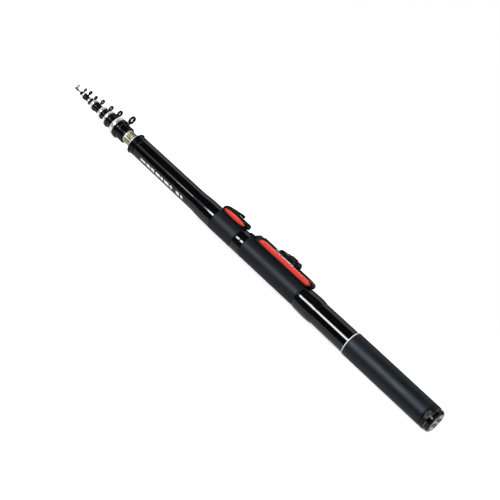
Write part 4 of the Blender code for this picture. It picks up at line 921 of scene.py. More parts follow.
# %% [markdown]
# The seat's saddle and rail are moulded bodies that bed on the sleeves. Each is worked out as a row
# of cross-sections along X. Seen from above the ends are round, so the half-width follows a circle
# there, and seen from the side the top line is a function of X too. A channel for the reel's foot is
# let into the top, and it narrows to nothing where the body is narrower than it. Where a wall
# stands upright, two cross-sections lie a hair apart.

# %% Seat bodies
SEAT_HALF = half_width("front_saddle")
SEAT_CORNER = 5.5
FOOT_HALF = 6.5
FOOT_FLOOR = frame["record"]["mounts"][0]["pos_m"][2] / MM
BED_PLAY = 0.2           # mm between a seat body and what it beds on
BED_R = SLEEVE_R + BED_PLAY
RIM = 0.45               # mm, the least thickness of the channel's side walls
EDGE_R = 1.3             # rounding of the side walls' upper edges
WING_LOW = 11.9          # mm above the axis: the lower edge of the side walls


def plan_half(x, low, high, half=SEAT_HALF, corner=SEAT_CORNER):
    """Half-width at x of a plan with round corners: half - corner + sqrt(c^2 - (c - d)^2)."""
    distance = np.clip(np.minimum(x - low, high - x), 0.0, corner)
    return half - corner + np.sqrt(np.maximum(corner ** 2 - (corner - distance) ** 2, 0.0))


def end_share(distance, reach):
    """1 at an end of a body, falling to 0 at a reach from it."""
    return np.clip(1.0 - distance / reach, 0.0, 1.0)


def rising(distance, reach, tip):
    """The wings' low line, which rises at an end: low + (tip - low) s^2.2, with s the end's share."""
    return WING_LOW + (tip - WING_LOW) * end_share(distance, reach) ** 2.2


def rounded_end(distance, reach, drop, top):
    """A top line that falls by h at an end along an ellipse: top - h + h sqrt(1 - s^2)."""
    return top - drop + drop * np.sqrt(1.0 - end_share(distance, reach) ** 2)


def end_spaced(low, high, corner, count=26, between=40):
    """Places along X, close together on the round ends and wider apart between."""
    turn = corner * (1.0 - np.cos(np.linspace(0.0, math.pi / 2.0, count)))
    middle = np.linspace(low + corner, high - corner, between)[1:-1]
    return np.concatenate([low + turn, middle, high - turn[::-1]])


def step_at(x):
    """Two places a hair apart, between which an upright wall stands."""
    return [x - 0.01, x + 0.01]


def in_order(*places):
    """Places along X as a column, one row for each cross-section."""
    return np.sort(np.concatenate(places))[:, None]


def seat_body(x, ends, top, channel, low_line, bed_radius):
    """Cross-sections in (y, z) at each x, with a channel open between two places along X.

    The outline runs along the underside from the left to the right, up the right side, round the
    upper edge, and through the channel back to the left. The underside is the bed's arc, or the
    body's low line where that is higher, so the wings stand clear of the sleeve. The top drops to
    the channel's floor where the body is too narrow for a rim.
    """
    half = plan_half(x, *ends)
    is_open = (x > channel[0]) & (x < channel[1])
    walled = half > FOOT_HALF + RIM
    channel_half = np.where(walled, FOOT_HALF, np.maximum(half - 2.0 * RIM, 0.2))
    top = np.where(is_open & ~walled, np.minimum(top, FOOT_FLOOR), top)
    floor = np.where(is_open, np.minimum(FOOT_FLOOR, top), top)
    bed_y = half * np.sin(np.linspace(-1.0, 1.0, 33) * math.pi / 2.0)
    bed_z = np.maximum(np.sqrt(bed_radius ** 2 - bed_y ** 2), low_line)
    side_low = bed_z[:, -1:]
    edge = np.minimum(0.45 * (half - channel_half), 0.45 * (top - side_low))
    edge = np.clip(edge, 0.02, EDGE_R)
    quarter = np.linspace(0.0, math.pi / 2.0, 7)
    side_y = half - edge * (1.0 - np.cos(quarter))
    side_z = top - edge * (1.0 - np.sin(quarter))
    wall_z = side_low + (side_z[:, :1] - side_low) * np.array([0.3, 0.6, 0.9])
    right_y = np.hstack([half, half, half, side_y, channel_half, channel_half, 0.5 * channel_half])
    right_z = np.hstack([wall_z, side_z, top, floor, floor])
    y = np.hstack([bed_y, right_y, -right_y[:, ::-1]])
    z = np.hstack([bed_z, right_z, right_z[:, ::-1]])
    return carried(joined(x, y, z))


print("seat", round(2.0 * SEAT_HALF, 1), "mm wide, bedded at a radius of", round(BED_R, 2), "mm")


# %% [markdown]
# The front saddle has a round rear end, a level top with the channel in it, and a slope that the
# fixed hood covers. Its wings reach down the sleeve's sides and rise to a point at both ends.

# %% Front saddle
SADDLE = span("front_saddle")
SADDLE_TOP = 18.7
SADDLE_NOSE = 15.0
SADDLE_FALL = (4.5, 3.2)     # rounding of the rear end: its length, and how far it falls
REAR_WING = (8.0, 15.0)      # how far from an end the wings rise, and the height of their point
FRONT_WING = (8.0, SADDLE_NOSE - 1.0)
SLOPE_LENGTH = 9.0
SLOPE_BLUR = 1.0
HOOD_POCKET = 13.0       # how far the reel's foot goes in under the front hood
SLOPE_KNOTS = (
    (SADDLE[1] - SLOPE_LENGTH, SADDLE_TOP),
    (SADDLE[1] - 0.4 * SLOPE_LENGTH, SADDLE_TOP - 0.4 * (SADDLE_TOP - SADDLE_NOSE)),
    (SADDLE[1], SADDLE_NOSE),
)
FRONT_HOOD = span("front_hood")
POCKET_END = FRONT_HOOD[0] + HOOD_POCKET


def make_front_saddle():
    """The top is the lower of the rear's ellipse and the slope, the wings the higher of two lines."""
    low, high = SADDLE
    rim_reach = FOOT_HALF + RIM - SEAT_HALF + SEAT_CORNER
    rim_start = low + SEAT_CORNER - math.sqrt(SEAT_CORNER ** 2 - rim_reach ** 2)
    x = in_order(end_spaced(low, high, SEAT_CORNER), step_at(rim_start), step_at(POCKET_END))
    rear = rounded_end(x - low, *SADDLE_FALL, SADDLE_TOP)
    top = np.minimum(rear, smooth_line(x, SLOPE_KNOTS, SLOPE_BLUR))
    wings = np.maximum(rising(x - low, *REAR_WING), rising(high - x, *FRONT_WING))
    shell = seat_body(x, SADDLE, top, (0.0, POCKET_END), wings, BED_R)
    make_piece("front_saddle_body", [shell], "butt", "seat_plastic", "front_saddle")


make_front_saddle()


# %% [markdown]
# The long rail is made the same way, with a ramp at its front end and a low foot under that, which
# is bound to the blank on the real rod.

# %% Seat rail
RAIL_LOW, FOOT_END = span("seat_rail")
RAIL_RAMP_END = FOOT_END - 6.5
RAIL_FLAT_END = RAIL_RAMP_END - 6.5
RAIL = (RAIL_LOW, RAIL_RAMP_END)
RAIL_TOP = 19.8
RAMP_FOOT = 14.4
RAIL_NOSE = 16.2         # mm above the axis: the height of the round rear nose's middle
RAIL_FALL = (11.0, RAIL_TOP - RAIL_NOSE - 0.5)      # the nose's upper curve: its length and fall
RAIL_UNDER = (12.0, RAIL_NOSE - 0.5 - WING_LOW)     # its lower curve: its length and rise
RAMP_WING = (7.0, 13.2)
RAIL_CHANNEL = RAIL_LOW + 7.5
RAIL_FOOT = (5.0, 12.4, RAMP_FOOT, 0.5)     # half-width, lower and upper face, eased edge
RAMP_KNOTS = ((RAIL_FLAT_END, RAIL_TOP), (RAIL_RAMP_END, RAMP_FOOT))


def squared(angle, power):
    """Cosine and sine of an angle drawn out towards a square: sign(c) |c|^p."""
    circle = np.array([np.cos(angle), np.sin(angle)])
    return np.sign(circle) * np.abs(circle) ** power


def rounded_slab(ends, half, z_low, z_high, edge):
    """A flat slab with round vertical corners and eased edges, as stations along Z of its plan."""
    wide, deep = squared(np.linspace(0.0, 2.0 * math.pi, 64, endpoint=False), 0.35)
    inset = np.array([1.0, 0.3, 0.0, 0.0, 0.3, 1.0])[:, None] * edge
    rise = np.array([0.0, 0.3, 1.0])[:, None] * edge
    z = np.concatenate([z_low + rise, z_high - rise[::-1]])
    centre = (ends[0] + ends[1]) / 2.0
    x = centre + (ends[1] - centre - inset) * wide
    return carried(joined(x, (half - inset) * deep, z))


def make_rail():
    """As the saddle, with a rear that curves in below too, a bed that clears the binding, and a foot."""
    low, high = RAIL
    ramp = np.linspace(RAIL_FLAT_END - 1.0, high, 24)
    x = in_order(end_spaced(low, high, SEAT_CORNER), ramp, step_at(RAIL_CHANNEL))
    x = np.unique(x.round(4))[:, None]
    rear = rounded_end(x - low, *RAIL_FALL, RAIL_TOP)
    top = np.minimum(rear, smooth_line(x, RAMP_KNOTS, 0.8))
    rear_wing = -rounded_end(x - low, *RAIL_UNDER, -WING_LOW)
    wings = np.maximum(rear_wing, rising(high - x, *RAMP_WING))
    binding = np.where(x < BINDING_END + 0.1, smooth_line(x, REAR_KNOTS, REAR_BLUR) + BED_PLAY, 0.0)
    bed = np.maximum(BED_R, binding)
    shell = seat_body(x, RAIL, top, (RAIL_CHANNEL, high + 1.0), wings, bed)
    foot = rounded_slab((high - 4.0, FOOT_END), *RAIL_FOOT)
    make_piece("seat_rail_body", [shell, foot], "butt", "seat_plastic", "seat_rail")


make_rail()


# %% [markdown]
# The orange inlays lie in the two sides of saddle and rail and follow their round ends. A strip is a
# thin sheet over (along, up). Its outline narrows to a point at both ends, over half its length on
# the saddle and over a few millimetres on the rail, and its face is slightly crowned.

# %% Orange inlays
INLAY_PROUD = 0.18
INLAY_SUNK = 0.35        # how deep the strip's back lies in the wall
FRONT_INLAY = span("front_inlay_left")
FRONT_STRIP = (FRONT_INLAY[0], FRONT_INLAY[1] - 2.0)
FRONT_POINT = (FRONT_INLAY[1] - FRONT_INLAY[0]) / 2.0 - 1.0
INLAYS = {       # ends, body, middle's height, strip's height, points' lengths, sinking of the tip
    "front": (FRONT_STRIP, SADDLE, 14.85, 4.7, (FRONT_POINT, FRONT_POINT), 0.3),
    "rail": (span("rail_inlay_left"), RAIL, 15.75, 5.2, (6.5, 9.0), 1.0),
}


def inlay_shell(ends, body, middle, height, points, tip_drop, side):
    """Crowned sheet on the wall of a seat body, between its two ends.

    Its reach is (1 - p^2)^0.6 at each end, with p the place from shoulder to tip. The middle line
    sinks by the tip drop over the front point, as the ramp above it does.
    """
    low, high = ends
    turn = np.cos(np.linspace(0.0, math.pi, 110))[:, None]
    x = (low + high) / 2.0 - (high - low) / 2.0 * turn
    rear, front = end_share(x - low, points[0]), end_share(high - x, points[1])
    reach = height / 2.0 * ((1.0 - rear ** 2) * (1.0 - front ** 2)) ** 0.6
    up = np.sin(np.linspace(-1.0, 1.0, 17) * math.pi / 2.0)
    z = middle - tip_drop * front ** 1.5 + reach * up
    crown = INLAY_PROUD * np.maximum(1.0 - up ** 4, 0.0) ** 0.5
    thinned = np.clip(reach / 0.4, 0.0, 1.0)
    face, back = (
        joined(x, side * (plan_half(x, *body) + lift * thinned), z) for lift in (crown, -INLAY_SUNK)
    )
    outline = np.hstack([face, back[:, ::-1]])
    return outline.reshape(-1, 3), grid_faces(len(x), outline.shape[1])


for word, side in (("left", 1.0), ("right", -1.0)):
    for name, sizes in INLAYS.items():
        shell = inlay_shell(*sizes, side)
        make_piece(name + "_strip_" + word, [shell], "butt", "inlay_orange", name + "_inlay_" + word)


# %% [markdown]
# A hood is an arch over the reel's foot. Its cross-section is an outer arch and an inner one. Where
# the hood is solid, the inner arch sinks to the base line, so the grid keeps its shape throughout.

# %% Front hood
HOOD_TOP = height_of("front_hood")[1]
HOOD_FALL = HOOD_TOP - SADDLE_NOSE - 1.0
HOOD_CORNER = 2.5        # rounding of the roof's long edges
HOOD_GAP = 0.25          # mm between the saddle's slope and the hood
HOOD_ROOF = ((0.0, 0.0), (0.12, 0.0), (0.41, 0.17), (0.66, 0.29), (0.85, 0.60), (1.0, 1.0))
ROOF_WALL = 0.8
SIDE_WALL = 0.6


def arch(half, low, top, radius):
    """Right half of an arch: up the side, round a corner of the given radius, to the middle."""
    quarter = np.linspace(0.0, math.pi / 2.0, 9)
    corner_y = half - radius * (1.0 - np.cos(quarter))
    corner_z = top - radius * (1.0 - np.sin(quarter))
    y = np.hstack([half, half, corner_y, 0.0 * half])
    z = np.hstack([low, (low + corner_z[:, :1]) / 2.0, corner_z, top])
    return y, z


def hood_shell(x, outer, inner):
    """Stations whose outline is the outer arch from right to left and the inner arch back."""
    y = np.hstack([outer[0], -outer[0][:, -2::-1], -inner[0][:, :-1], inner[0][:, ::-1]])
    z = np.hstack([outer[1], outer[1][:, -2::-1], inner[1][:, :-1], inner[1][:, ::-1]])
    return carried(joined(x, y, z))


def make_front_hood():
    """The roof falls forward through the knots; the pocket is open to the rear."""
    low_x, high_x = FRONT_HOOD
    length = high_x - low_x
    knots = [(low_x + along * length, HOOD_TOP - down * HOOD_FALL) for along, down in HOOD_ROOF]
    body = np.linspace(low_x, high_x - SEAT_CORNER, 40)[:-1]
    nose = high_x - SEAT_CORNER * (1.0 - np.cos(np.linspace(math.pi / 2.0, 0.0, 24)))
    x = in_order(body, nose, step_at(POCKET_END))
    half = plan_half(x, SADDLE[0], high_x)
    top = smooth_line(x, knots, 1.2)
    low = smooth_line(x, SLOPE_KNOTS, SLOPE_BLUR) + HOOD_GAP
    outer = arch(half, low, top, np.minimum(HOOD_CORNER, 0.8 * (top - low)))
    hollow = x < POCKET_END
    ceiling = np.where(hollow, top - ROOF_WALL, low + 0.02)
    inner_half = np.minimum(FOOT_HALF, half - SIDE_WALL)
    inner = arch(inner_half, low, ceiling, np.where(hollow, 1.5, 0.005))
    shell = hood_shell(x, outer, inner)
    make_piece("front_hood_shell", [shell], "butt", "seat_plastic", "front_hood", bevel_mm=0.2)


make_front_hood()


# %% [markdown]
# The sliding hood runs on the rail. Its roof steps down from the stop at the rear to a low deck under
# the lever, and up again to the lip over the reel's foot. Two small cheeks carry the lever's pin.

# %% Sliding hood
SLIDE = span("slide_hood")
SLIDE_BASE, STOP_TOP = height_of("slide_hood")
RUNNER_HALF = half_width("slide_runner")
RUNNER_LOW, RUNNER_TOP = height_of("slide_runner")
HINGE = next(joint for joint in frame["joints"] if joint["name"] == "lever_hinge")
PIN_X, PIN_Z = HINGE["pos_m"][0] / MM, HINGE["pos_m"][2] / MM
LEVER_HALF = half_width("lock_lever")
SLIDE_CORNER = 2.6
SLIDE_EDGE = 3.4                  # rounding of the roof's long edges
RUNNER_PLAY = (0.15, 0.2)         # mm beside the runner and over it
SLIDE_POCKET = SLIDE[1] - 7.0     # where the pocket for the reel's foot begins
DECK_TOP = 21.6
LIP_TOP = 23.7
BACK_TOP = LIP_TOP - 0.9          # the roof behind the lip, and the pocket's ceiling
STEP = 0.35                       # mm along the rod that a step of the roof takes
CHEEK_R = 1.7
CHEEK_WALL = 1.4
SLIDE_ROOF = (
    (SLIDE[0], STOP_TOP - 2.6), (SLIDE[0] + 1.5, STOP_TOP - 0.3), (SLIDE[0] + 3.2, STOP_TOP),
    (SLIDE[0] + 4.3, STOP_TOP - 0.5), (SLIDE[0] + 4.6, STOP_TOP - 1.6),
    (SLIDE[0] + 4.6 + STEP, DECK_TOP), (PIN_X + CHEEK_R, DECK_TOP),
    (PIN_X + CHEEK_R + STEP, BACK_TOP), (SLIDE[1] - 4.5, BACK_TOP), (SLIDE[1] - 3.0, LIP_TOP),
    (SLIDE[1] - 1.5, LIP_TOP), (SLIDE[1], LIP_TOP - 1.5),
)


def cheek_shell(side):
    """A lug with a round top beside the lever: its outline in (x, z) carried along Y."""
    angle = np.linspace(0.0, math.pi, 15)
    x = PIN_X + CHEEK_R * np.concatenate([[1.0], np.cos(angle), [-1.0]])
    foot = [DECK_TOP - 0.4]
    z = np.concatenate([foot, PIN_Z + CHEEK_R * np.sin(angle), foot])
    inside = LEVER_HALF + 0.3
    y = side * np.linspace(inside, inside + CHEEK_WALL, 4)[:, None]
    return carried(joined(x, y, z))


def make_slide_hood():
    """An arch over a tunnel for the runner, with the foot's pocket above that at the front."""
    x = in_order(end_spaced(*SLIDE, SLIDE_CORNER, 16, 120), step_at(SLIDE_POCKET))
    half = plan_half(x, *SLIDE, half_width("slide_hood"), SLIDE_CORNER)
    top = smooth_line(x, SLIDE_ROOF, 0.5)
    base = np.full_like(x, SLIDE_BASE)
    outer = arch(half, base, top, np.minimum(SLIDE_EDGE, 0.85 * (top - base)))
    tunnel_half = np.minimum(RUNNER_HALF + RUNNER_PLAY[0], half - 0.5)
    tunnel_top = np.full_like(x, RUNNER_TOP + RUNNER_PLAY[1])
    pocket_half = np.minimum(FOOT_HALF, tunnel_half - 0.4)
    pocket_top = np.where(x > SLIDE_POCKET, np.minimum(BACK_TOP, top - SIDE_WALL), tunnel_top)
    inner_y = np.hstack([tunnel_half, tunnel_half, pocket_half, pocket_half, 0.0 * half])
    inner_z = np.hstack([base, tunnel_top, tunnel_top, pocket_top, pocket_top])
    shells = [hood_shell(x, outer, (inner_y, inner_z)), cheek_shell(1.0), cheek_shell(-1.0)]
    make_piece("slide_hood_shell", shells, "seat_slider", "seat_plastic", "slide_hood", bevel_mm=0.15)


make_slide_hood()


# %% [markdown]
# The runner is folded steel: two flanges outside the rail, two lips inside its channel, and a deck
# between them, open at the front where two prongs reach along the reel's foot.

# %% Steel runner and pin
STEEL = 0.6              # mm, the sheet's thickness
PRONG = 10.0             # how far the prongs reach ahead of the deck
LIP_OUT = 0.5            # the lips are turned out by this much, and are LIP_HIGH high
LIP_HIGH = 0.45
LIP_PLAY = 0.25          # mm from a lip's web to the channel's wall
FLANGE_LOW = RAIL_TOP - 1.7
PIN_R = 0.7


def bar_shell(outline, x_low, x_high):
    """A straight bar: an outline in (y, z), with eased corners, carried along X."""
    outline = ease(outline, 0.15, 3)
    x = np.array([x_low, x_low + 0.1, x_high - 0.1, x_high])[:, None]
    return carried(joined(x, outline[:, 0], outline[:, 1]))


def make_runner():
    """The right-hand fold, its mirror image, and the deck between the two."""
    low, high = span("slide_runner")
    outer, inside = RUNNER_HALF, RUNNER_HALF - STEEL
    neck = FOOT_HALF - LIP_PLAY
    deck, under = RUNNER_TOP, RUNNER_TOP - STEEL
    lip_top = RUNNER_LOW + LIP_HIGH
    fold = [
        (outer, deck), (outer, FLANGE_LOW), (inside, FLANGE_LOW), (inside, under), (neck, under),
        (neck, lip_top), (neck + LIP_OUT, lip_top), (neck + LIP_OUT, RUNNER_LOW),
        (neck - STEEL, RUNNER_LOW), (neck - STEEL, deck),
    ]
    edge = neck - STEEL + 0.1
    plate = [(edge, deck), (edge, under), (-edge, under), (-edge, deck)]
    shells = [bar_shell([(side * y, z) for y, z in fold], low, high) for side in (1.0, -1.0)]
    shells.append(bar_shell(plate, low, high - PRONG))
    make_piece("slide_runner_rails", shells, "seat_slider", "bright_steel", "slide_runner")


def make_pin():
    """A turned pin, with its axis laid across the rod."""
    half = half_width("lever_pin")
    profile = ease([(half, 0.0), (half, PIN_R), (-half, PIN_R), (-half, 0.0)], 0.15, 3, closed=False)
    points, faces = turned(profile, 32)
    points = points[:, [1, 0, 2]] + (PIN_X, 0.0, PIN_Z)
    make_piece("lever_pin_steel", [(points, faces)], "seat_slider", "bright_steel", "lever_pin")


make_runner()
make_pin()


# %% [markdown]
# The lock lever is a thumb pad on a round hub. Its side outline is carried across the rod, with a
# little less height towards both sides, and three ribs stop the thumb from slipping.

# %% Lock lever
HUB_R = 1.5
RIBS = 3
RIB_HEIGHT = 0.5
LEVER_CROWN = 0.35


def make_lever():
    """Outline in (x, z): the ribs h/2 (1 + cos) along the pad, then the hub's arc; carried along Y."""
    rear = span("lock_lever")[0]
    low, top = height_of("lock_lever")
    rib_x = np.linspace(rear + 1.1, PIN_X - 1.6, 61)
    turn = (rib_x - rib_x[0]) / (rib_x[-1] - rib_x[0]) * RIBS * 2.0 * math.pi
    ribs = top - RIB_HEIGHT / 2.0 * (1.0 + np.cos(turn))
    hub = np.radians(np.linspace(40.0, -90.0, 14))
    x = np.concatenate([[rear], rib_x, [PIN_X + 0.4], PIN_X + HUB_R * np.cos(hub), [rear + 0.6]])
    z = np.concatenate([[top - 1.1], ribs, [top - 0.9], PIN_Z + HUB_R * np.sin(hub), [low + 0.02]])
    across = np.sin(np.linspace(-1.0, 1.0, 21) * math.pi / 2.0)[:, None]
    lower = LEVER_CROWN * across ** 4 * (z > PIN_Z)
    shell = carried(joined(x, LEVER_HALF * across, z - lower))
    make_piece("lock_lever_pad", [shell], "lever", "seat_plastic", "lock_lever", bevel_mm=0.12)


make_lever()


# %% [markdown]
# The butt cap screws into the rod's end. Its front band has fine flutes for the fingers, a groove
# parts the band from the rounded end, and the hollow thread behind holds the rubber buffer. The
# band's bevelled edge is cut bright, and the groove and the end below it are polished.

# %% Butt cap
POLISHED_EDGE = (5.45, 5.95)      # mm along the rod: the band's bevelled edge
GROOVE = (4.6, 5.5)
BAND_END = 12.0
BUTTON_R = 13.4
GROOVE_R = BUTTON_R - 0.7
RIM_R = 2.9                       # rounding of the cap's end
BADGE_SEAT_R = 10.1
BADGE_SEAT = 1.2                  # how deep the badge's recess is
BUFFER_SEAT = 14.0                # how far in the buffer's recess ends
SPIGOT_END = span("butt_cap")[1]
SPIGOT_R = 10.84
SPIGOT_BORE = 9.44
PITCH = 1.25
THREAD_DEPTH = 0.24
FLUTES = 60
FLUTE_DEPTH = 0.16
CAP_FINISH = black_anodised("black_anodised_cut_bright", (0.24, 0.34), shine=0.3)
cut_bright(CAP_FINISH, *POLISHED_EDGE, "#7E8082", (0.2, 1.0))
smoother_below(CAP_FINISH, POLISHED_EDGE[1], 0.05)


def fade_in(distance, reach):
    """0 up to a place and 1 from a reach beyond it."""
    return np.clip(distance / reach, 0.0, 1.0)


def flutes(angle, count, depth):
    """How far flutes sink round a turned surface: depth/2 (1 - cos(n a))."""
    return depth / 2.0 * (1.0 - np.cos(count * angle))


def band_flutes(x, radius, angle):
    """The flutes on the cap's band only, faded out at its ends."""
    along = fade_in(x - GROOVE[1] - 1.1, 0.5) * fade_in(BAND_END - 0.7 - x, 0.5)
    outside = radius > GRIP_R - 0.6
    return x, radius - flutes(angle, FLUTES, FLUTE_DEPTH) * along * outside


def make_butt_cap():
    """From the buffer's recess out along the thread, the band, the groove and the rim."""
    inside = [
        (BUFFER_SEAT, 0.0), (BUFFER_SEAT, SPIGOT_BORE), (SPIGOT_END, SPIGOT_BORE),
        (SPIGOT_END, SPIGOT_R - 0.2),
    ]
    thread_x = np.linspace(SPIGOT_END - 0.3, BAND_END + 0.6, 120)
    wave = np.cos(thread_x * 2.0 * math.pi / PITCH) - 1.0
    thread = joined(thread_x, SPIGOT_R + THREAD_DEPTH / 2.0 * wave)
    shoulder = [(BAND_END, SPIGOT_R - 0.1), (BAND_END, GRIP_R - 0.3)]
    band = joined(np.linspace(BAND_END - 0.3, GROOVE[1] + 0.9, 17), GRIP_R)
    groove = [
        (GROOVE[1] + 0.45, GRIP_R), (GROOVE[1], GRIP_R - 0.35), (GROOVE[1], GROOVE_R),
        (GROOVE[0], GROOVE_R), (GROOVE[0], BUTTON_R - 0.25), (GROOVE[0] - 0.25, BUTTON_R),
    ]
    turn = np.radians(np.linspace(90.0, 180.0, 12))
    rim = joined(RIM_R + RIM_R * np.cos(turn), BUTTON_R - RIM_R + RIM_R * np.sin(turn))
    recess = [(0.0, BADGE_SEAT_R + 0.2), (0.2, BADGE_SEAT_R), (BADGE_SEAT, BADGE_SEAT_R), (BADGE_SEAT, 0.0)]
    profile = np.concatenate([inside, thread, shoulder, band, groove, rim, recess])
    shell = turned(profile, 480, shape=band_flutes)
    make_piece("screw_cap", [shell], "cap", "black_metal", "butt_cap", finish=CAP_FINISH)


make_butt_cap()


# %% [markdown]
# The badge is a thin plate in the cap's end. Its face is turned in steps, and the petals are pressed
# in where the material above paints them black.

# %% Badge
PETAL_DEPTH = 0.3
PETAL_WALL = 0.35         # slope of a petal's walls: near 1 they stand upright, near 0 they lie flat
BADGE_STEPS = (
    (0.0, 0.0), (0.8, 0.02), (1.1, 0.12), (PETAL_OUTER, 0.12), (8.4, 0.32), (8.8, 0.32), (9.0, 0.0),
)


def rosette(x, radius, angle):
    """The badge's face pressed in over the petals, with walls a few tenths wide."""
    ends = PETAL_NARROW + (1.0 - PETAL_NARROW) * (radius / PETAL_OUTER) ** PETAL_ROUND
    across = np.clip((np.cos(PETALS * (angle + PETAL_TURN)) - ends) * radius * PETAL_WALL, 0.0, 1.0)
    on_face = x < 0.5
    return x + PETAL_DEPTH * across * fade_in(radius - PETAL_INNER, 0.3) * on_face, radius


def make_badge():
    """Face at x = depth: a small boss, the petals' field, a groove and a raised rim."""
    outer = radius_of("cap_badge")
    radius = np.linspace(0.0, outer - 0.2, 100)
    face = joined(smooth_line(radius, (*BADGE_STEPS, (outer, 0.0)), 0.1), radius)
    profile = np.concatenate([face, [(0.15, outer), (0.9, outer), (0.9, 0.0)]])
    shell = turned(profile, 360, shape=rosette)
    make_piece("cap_badge_plate", [shell], "cap", "badge_metal", "cap_badge")


make_badge()


# %% [markdown]
# Each inner section is a slim tube with a land at its base and a narrow mouth. The tubes are fitted
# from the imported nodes: their boxes give the length, and the radii and lands stand here, from the
# first section to the tip. The tip section is solid.

# %% Inner sections
BASE_LANDS = (30.0, 28.0, 26.0, 24.0, 22.0, 20.0, 18.0)
BASE_RADII = (10.2, 5.5, 4.4, 3.4, 2.5, 1.7, 0.9)
END_RADII = (6.75, 5.25, 4.2, 3.25, 2.4, 1.6, 0.6)
SECTION_NAMES = ["section_" + str(number) for number in range(1, 8)]
PLAY = 0.12
CATCH = 0.15             # how much wider a base land is than the mouth that stops it
LAND_WALL = 1.1
MOUTH_LAND = 15.0        # mm of narrow mouth in the first section, and 1 mm less in each further one


def section_outside(index, low, high):
    """A straight taper, a chamfer and the land, from the front end to the base."""
    land_r = BASE_RADII[index] + PLAY + CATCH
    land_end = low + BASE_LANDS[index]
    taper = [(high, END_RADII[index]), (land_end + 1.0, BASE_RADII[index])]
    return taper + [(land_end, land_r), (low, land_r)]


def make_section_tube(index):
    """The outside line, and inside a wide bore and a narrow mouth."""
    name = SECTION_NAMES[index]
    low, high = span(name + "_tube")
    outside = section_outside(index, low, high)
    mouth = BASE_RADII[index + 1] + PLAY
    bore = mouth + CATCH + PLAY
    mouth_start = high - MOUTH_LAND + index
    inside = [
        (low, max(bore, outside[-1][1] - LAND_WALL)), (mouth_start - 1.0, bore), (mouth_start, mouth),
        (high, mouth),
    ]
    shell = turned(ease(outside + inside, 0.12, 3), 96)
    make_piece(name + "_blank", [shell], name, "lacquered_blank", name + "_tube")


def make_tip_blank():
    """The outside line, closed on the axis at both ends."""
    low, high = span("tip_blank")
    profile = [(high, 0.0), *section_outside(6, low, high), (low, 0.0)]
    shell = turned(ease(profile, 0.12, 3, closed=False), 48)
    make_piece("tip_blank_rod", [shell], SECTION_NAMES[6], "lacquered_blank", "tip_blank")


for index in range(6):
    make_section_tube(index)
make_tip_blank()


# %% [markdown]
# A collar and its guide are moulded in one. The guide is a round frame on a flared foot, lined with
# a ceramic ring. The frame's section is a rounded rectangle, and the foot is a column whose widths
# flare towards the collar.

# %% Collars and guides
COLLAR_RADII = (11.2, 9.1, 6.7, 5.8, 4.1, 3.6, 2.4)
FLOAT_BORE = 1.05
SEAT_PLAY = 0.2          # mm from a section's end to the bore of what sits on it
WAIST = 0.86             # radius of a collar behind its lip, as a share of the lip's
GUIDE_DEPTH = 1.7        # a guide's depth along the rod, as a share of its wire's thickness
FOOT_LENGTHS = (1.5, 0.55)    # a foot's half-length at its base and top, as shares of the wire
FOOT_WIDTHS = (0.62, 0.42)    # and its half-width, as shares of the guide's radius
LINING_POWER = 0.8       # a lining's section is rounder than its frame's
GUIDES = (               # outer radius, wire, height above the axis, place along the collar
    (4.7, 1.6, 16.0, 0.56), (3.8, 1.4, 12.0, 0.44), (3.1, 1.2, 9.9, 0.50), (2.8, 1.1, 8.8, 0.56),
    (2.3, 1.0, 7.0, 0.40), (2.4, 1.0, 7.0, 0.60), (2.0, 0.8, 5.6, 0.40),
)


def standing_ring(x, z, outer, inner, width, sides=72, power=0.6):
    """A ring across the rod: its section is a superellipse, |cos b|^p by |sin b|^p."""
    deep, wide = squared(np.linspace(0.0, 2.0 * math.pi, 20, endpoint=False), power)
    middle = (outer + inner) / 2.0
    return turned(joined(x + width / 2.0 * wide, middle + (outer - middle) * deep), sides, z)


def flared_foot(x, heights, lengths, widths):
    """A column along Z: its half-length and half-width shrink with (1 - s)^3 from foot to top.

    Heights, half-lengths and half-widths are pairs, for the foot and for the top.
    """
    s = np.linspace(0.0, 1.0, 12)[:, None]
    half_x, half_y = [top + (foot - top) * (1.0 - s) ** 3 for foot, top in (lengths, widths)]
    wide, deep = squared(np.linspace(0.0, 2.0 * math.pi, 32, endpoint=False), 0.7)
    z = heights[0] + (heights[1] - heights[0]) * s
    return carried(joined(x + half_x * wide, half_y * deep, z))


def collar_outline(low, high, radius, bore):
    """The collar's profile: a full front lip, an eased step, and a slimmer body behind."""
    length = high - low
    lip = 0.30 * length
    waist = WAIST * radius
    corners = [
        (high, radius - 0.12 * length ** 0.5), (high - 0.3 * lip, radius), (high - lip, radius),
        (high - 1.3 * lip, 0.98 * waist), (low, 1.01 * waist), (low, bore), (high, bore),
    ]
    return ease(corners, 0.05 * length + 0.1, 5)


def make_collar(index, name, body, bore):
    """The collar's profile turned, a ring across the rod over it, and the foot between the two."""
    low, high = span(name + "_collar")
    radius = COLLAR_RADII[index]
    outer, wire, height, place = GUIDES[index]
    x = low + (high - low) * place
    depth = wire * GUIDE_DEPTH
    ring_seat = outer - wire / 2.0
    frame_ring = standing_ring(x, height, outer + 0.25, ring_seat, depth)
    heights = ((bore + WAIST * radius) / 2.0, height - outer + 0.45 * wire)
    lengths = [share * wire for share in FOOT_LENGTHS]
    widths = [share * outer for share in FOOT_WIDTHS]
    foot = flared_foot(x, heights, lengths, widths)
    shells = [turned(collar_outline(low, high, radius, bore)), frame_ring, foot]
    part = name + "_collar"
    make_piece(name + "_collar_body", shells, body, "seat_plastic", part, finish=POLISHED_NYLON)
    lining = (ring_seat + 0.02, outer - 1.3 * wire, depth * 0.85)
    lining = standing_ring(x, height, *lining, power=LINING_POWER)
    make_piece(name + "_guide_lining", [lining], body, "guide_ceramic", name + "_guide_ring")


for index, name in enumerate(SECTION_NAMES[:6]):
    make_collar(index, name, name, END_RADII[index] + SEAT_PLAY)
make_collar(6, "float", "float_guide", FLOAT_BORE)


